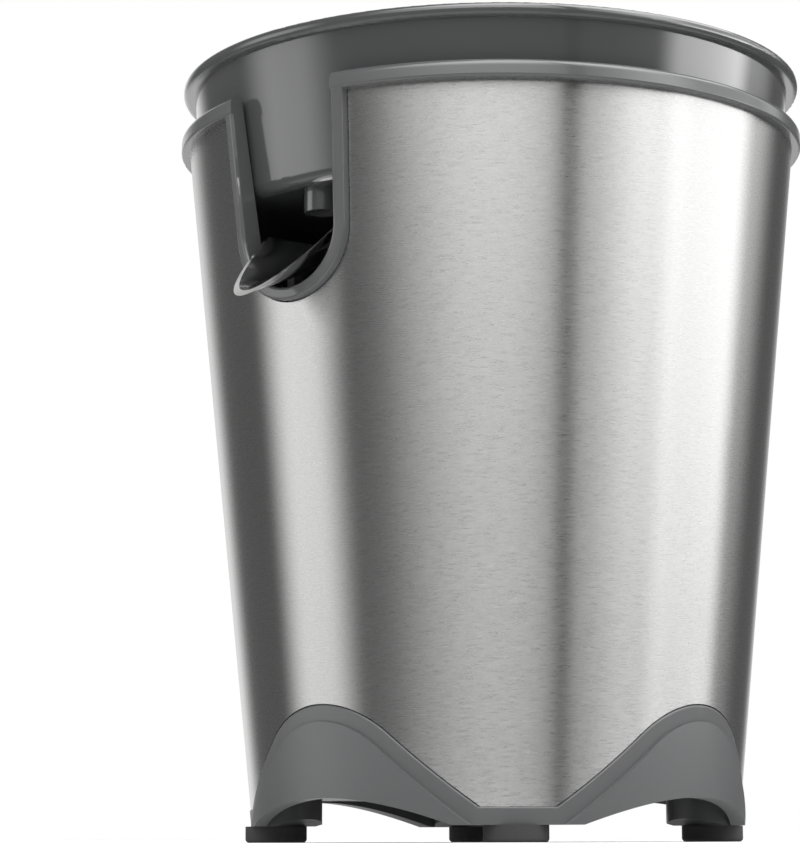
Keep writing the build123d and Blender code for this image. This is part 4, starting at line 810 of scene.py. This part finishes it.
# %% Tree of the clamp screws
SCREW_INPUTS = {"Outline": "Object", "Segments": "Int", "Foot": "Float", "Recess": "Float"}
SCREW_INPUTS.update({"Slot": "Float", "Circle": "Float", "Count": "Int", "Finish": "Material"})
CUT_SEAM = 0.005 * MM
screw_tree, given, screw_out = node_tree("cross_screws", SCREW_INPUTS)
outline, rows = line_points(screw_tree, given["Outline"])
sheet, row, turn = turned_sheet(screw_tree, rows, given["Segments"])
whole = wrap(screw_tree, sheet, read_line(screw_tree, outline, row), turn)
outward = step(screw_tree, "GeometryNodeFlipFaces", [("Mesh", whole)]).outputs[0]
cutting = {"operation": "DIFFERENCE", "solver": "EXACT"}
cut = step(screw_tree, "GeometryNodeMeshBoolean", [("Mesh 1", outward)], **cutting)
for long_side, short_side in (("X", "Y"), ("Y", "X")):
    bar = [(long_side, given["Recess"]), (short_side, given["Slot"]), ("Z", given["Recess"])]
    bar_size = step(screw_tree, "ShaderNodeCombineXYZ", bar).outputs[0]
    bar_mesh = step(screw_tree, "GeometryNodeMeshCube", [("Size", bar_size)]).outputs[0]
    bar_foot = step(screw_tree, "ShaderNodeCombineXYZ", [("Z", given["Foot"])]).outputs[0]
    placing = [("Geometry", bar_mesh), ("Translation", bar_foot)]
    lowered = step(screw_tree, "GeometryNodeTransform", placing).outputs[0]
    screw_tree.links.new(lowered, cut.inputs["Mesh 2"])
cleaning = [("Geometry", cut.outputs[0]), ("Distance", CUT_SEAM)]
clean = step(screw_tree, "GeometryNodeMergeByDistance", cleaning).outputs[0]
circle = [("Vertices", given["Count"]), ("Radius", given["Circle"])]
spots = step(screw_tree, "GeometryNodeMeshCircle", circle).outputs[0]
copies = [("Points", spots), ("Instance", clean)]
four = step(screw_tree, "GeometryNodeInstanceOnPoints", copies).outputs[0]
finish_tree(screw_tree, four, given["Finish"], screw_out)
print("screw tree has", len(screw_tree.nodes), "nodes")

# %% Clamp screws
screw_circle = screw_high[0] - HEAD_RADIUS * MM
screw_values = {"Outline": screw_line, "Segments": 40, "Foot": screw_foot * MM}
screw_values.update({"Recess": 3.6 * MM, "Slot": 0.9 * MM, "Circle": screw_circle, "Count": 4})
screw_values["Finish"] = finishes["bright_steel"]
stands_for(grow("cross_screws", screw_tree, screw_values, 30), "clamp_screws")
bpy.data.objects.remove(screw_line)
print("screws on a circle of", round(screw_circle / MM, 2), "mm")

# %% [markdown]
# ## Camera
# The camera stands at table level, about forty degrees round from the spout, and looks slightly
# up. A long lens from a fair distance keeps the sleeve's two sides nearly straight.

# %% Camera
AZIMUTH = math.radians(39.95)
DISTANCE, EYE_HEIGHT = 0.7686, 1.0 * MM
LOOK_UP, LOOK_LEFT, ROLL = math.radians(8.81), math.radians(1.99), math.radians(-0.14)
camera_data = bpy.data.cameras.new("camera")
camera_data.lens = 113.9
camera_data.sensor_width = 36
camera_data.clip_start = 0.01
camera = add_object("camera", camera_data)
camera.location = (DISTANCE * math.sin(AZIMUTH), -DISTANCE * math.cos(AZIMUTH), EYE_HEIGHT)
camera.rotation_euler = (math.radians(90) + LOOK_UP, 0, AZIMUTH + LOOK_LEFT)
camera.rotation_euler.rotate_axis("Z", ROLL)
bpy.context.scene.camera = camera
print("camera at", [round(v, 3) for v in camera.location])

# %% [markdown]
# ## Studio
# Plastic would look right under one lamp, but brushed steel shows whatever stands round it. The
# world is therefore a ring of soft panels that only reflections see: a high one in front, a wide
# wash at the right with a bright strip at its foot and a shade above it, a weaker one at the left,
# a dim one behind and one overhead. Below the horizon a pale glow stands for the table, and a
# narrow gap between front and right makes the upright dark streak on the sleeve. Real lamps and
# boards could do the same, but a panel is easier to place by its bearing and height.

# %% Bearing and height of every direction
world = bpy.data.worlds.new("studio")
bpy.context.scene.world = world
world.use_nodes = True
sky = world.node_tree
sky.nodes.clear()
direction = step(sky, "ShaderNodeTexCoord").outputs["Generated"]
facing = [("Vector", direction), ("Angle", -AZIMUTH)]
swung = step(sky, "ShaderNodeVectorRotate", facing, rotation_type="Z_AXIS").outputs["Vector"]
parts = step(sky, "ShaderNodeSeparateXYZ", [("Vector", swung)]).outputs
bearing = sums(sky, "ARCTAN2", parts["X"], sums(sky, "MULTIPLY", parts["Y"], -1.0))
rise = sums(sky, "ARCSINE", parts["Z"])
print("bearings count from the camera, to the right")


# %% Panels round the object
def soft_step(value, start, end, low, high):
    """A soft step: low before start degrees, high after end degrees."""
    return between(sky, value, low, high, math.radians(start), math.radians(end), "SMOOTHSTEP")


def panel(middle, core, edge, foot, head, blur, level):
    """A soft panel: full within core degrees of its middle bearing, from foot to head in height."""
    turn = sums(sky, "COSINE", sums(sky, "SUBTRACT", bearing, math.radians(middle)))
    wide = soft_step(sums(sky, "ARCCOSINE", turn), core, edge, level, 0.0)
    above = soft_step(rise, foot - blur, foot + blur, 0.0, 1.0)
    below = soft_step(rise, head - blur, head + blur, 1.0, 0.0)
    return sums(sky, "MULTIPLY", wide, sums(sky, "MULTIPLY", above, below))


# Middle bearing, core, edge, foot, head and blur in degrees, then the level
PANELS = {
    "front": (0, 4, 62, 16, 95, 3, 2.85),
    "right_wash": (86, 20, 55, 10, 95, 8, 3.6),
    "right_strip": (91, 14, 27, 1, 11, 2, 3.4),
    "right_shade": (98, 14, 30, 13, 80, 2, -2.3),
    "left": (-83, 6, 26, -12, 22, 4, 1.45),
    "rear": (-172, 13, 36, -25, 50, 8, 0.75),
    "overhead": (50, 97, 101, 40, 95, 2, 2.0),
}
DIM_ROOM = 0.12
STREAK_GAP = (31, 1.8, 4.8, -60, 60, 5, 1.0)
TABLE_GLOW = (-45, -28, 0.45, 0.0)
ring = DIM_ROOM
for numbers in PANELS.values():
    ring = sums(sky, "ADD", ring, panel(*numbers))
ring = sums(sky, "ADD", ring, soft_step(rise, *TABLE_GLOW))
gap = sums(sky, "SUBTRACT", 1.0, panel(*STREAK_GAP))
mirrored = sums(sky, "MULTIPLY", sums(sky, "MAXIMUM", ring, 0.0), gap)
print("panels:", ", ".join(PANELS))

# %% [markdown]
# ### Which rays see what
# The panels are for reflections. Matt surfaces get a plain even light that is a little stronger
# from above, and the camera sees white behind the object.

# %% Which rays see what
FROM_BELOW, FROM_ABOVE, WHITE = 0.7, 1.2, 1.0


def choose(tree, factor, off, on):
    """One number or another; a plain Mix has them at sockets 2 and 3."""
    return step(tree, "ShaderNodeMix", [(0, factor), (2, off), (3, on)]).outputs[0]


path = step(sky, "ShaderNodeLightPath").outputs
seen = sums(sky, "MAXIMUM", path["Is Camera Ray"], path["Is Transmission Ray"])
even_light = between(sky, parts["Z"], FROM_BELOW, FROM_ABOVE, -1.0, 1.0)
strength = choose(sky, path["Is Glossy Ray"], even_light, mirrored)
strength = choose(sky, seen, strength, WHITE)
shining = [("Color", (1, 1, 1, 1)), ("Strength", strength)]
background = step(sky, "ShaderNodeBackground", shining).outputs["Background"]
step(sky, "ShaderNodeOutputWorld", [("Surface", background)])
print("world ready")

# %% [markdown]
# ### Table and lamp
# The table is a plain white sheet that keeps the shadow. Reflections look through it into the
# world, where its glow is, so that its far edge never shows in the steel. One soft lamp overhead
# gives the shadow its direction, and it stays out of the reflections.

# %% Table
TABLE_WHITE = (0.86, 0.86, 0.86)
bpy.ops.mesh.primitive_plane_add(size=12)
table = bpy.context.object
table.name = "table"
table_finish, tree, shader = start_finish("white_table", TABLE_WHITE, 0.9)
reflected = step(tree, "ShaderNodeLightPath").outputs["Is Glossy Ray"]
clear = step(tree, "ShaderNodeBsdfTransparent").outputs["BSDF"]
mixing = [("Fac", reflected), (1, shader.outputs["BSDF"]), (2, clear)]
mixed = step(tree, "ShaderNodeMixShader", mixing).outputs["Shader"]
tree.links.new(mixed, tree.nodes["Material Output"].inputs["Surface"])
table.data.materials.append(table_finish)
print("table at height", table.location.z)

# %% Lamp
LAMP_PLACE, LAMP_AIM = Vector((0.25, -0.1, 1.1)), Vector((0, 0, 0.15))
lamp_data = bpy.data.lights.new("overhead_softbox", "AREA")
lamp_data.shape = "RECTANGLE"
lamp_data.size, lamp_data.size_y = 0.9, 0.7
lamp_data.energy = 6
lamp = add_object("overhead_softbox", lamp_data)
lamp.location = LAMP_PLACE
lamp.rotation_euler = (LAMP_AIM - LAMP_PLACE).to_track_quat("-Z", "Y").to_euler()
lamp.visible_glossy = False
print("lamp", lamp_data.energy, "W")

# %% Colours on screen as written
bpy.context.scene.view_settings.view_transform = "Standard"
print("view", bpy.context.scene.view_settings.view_transform)
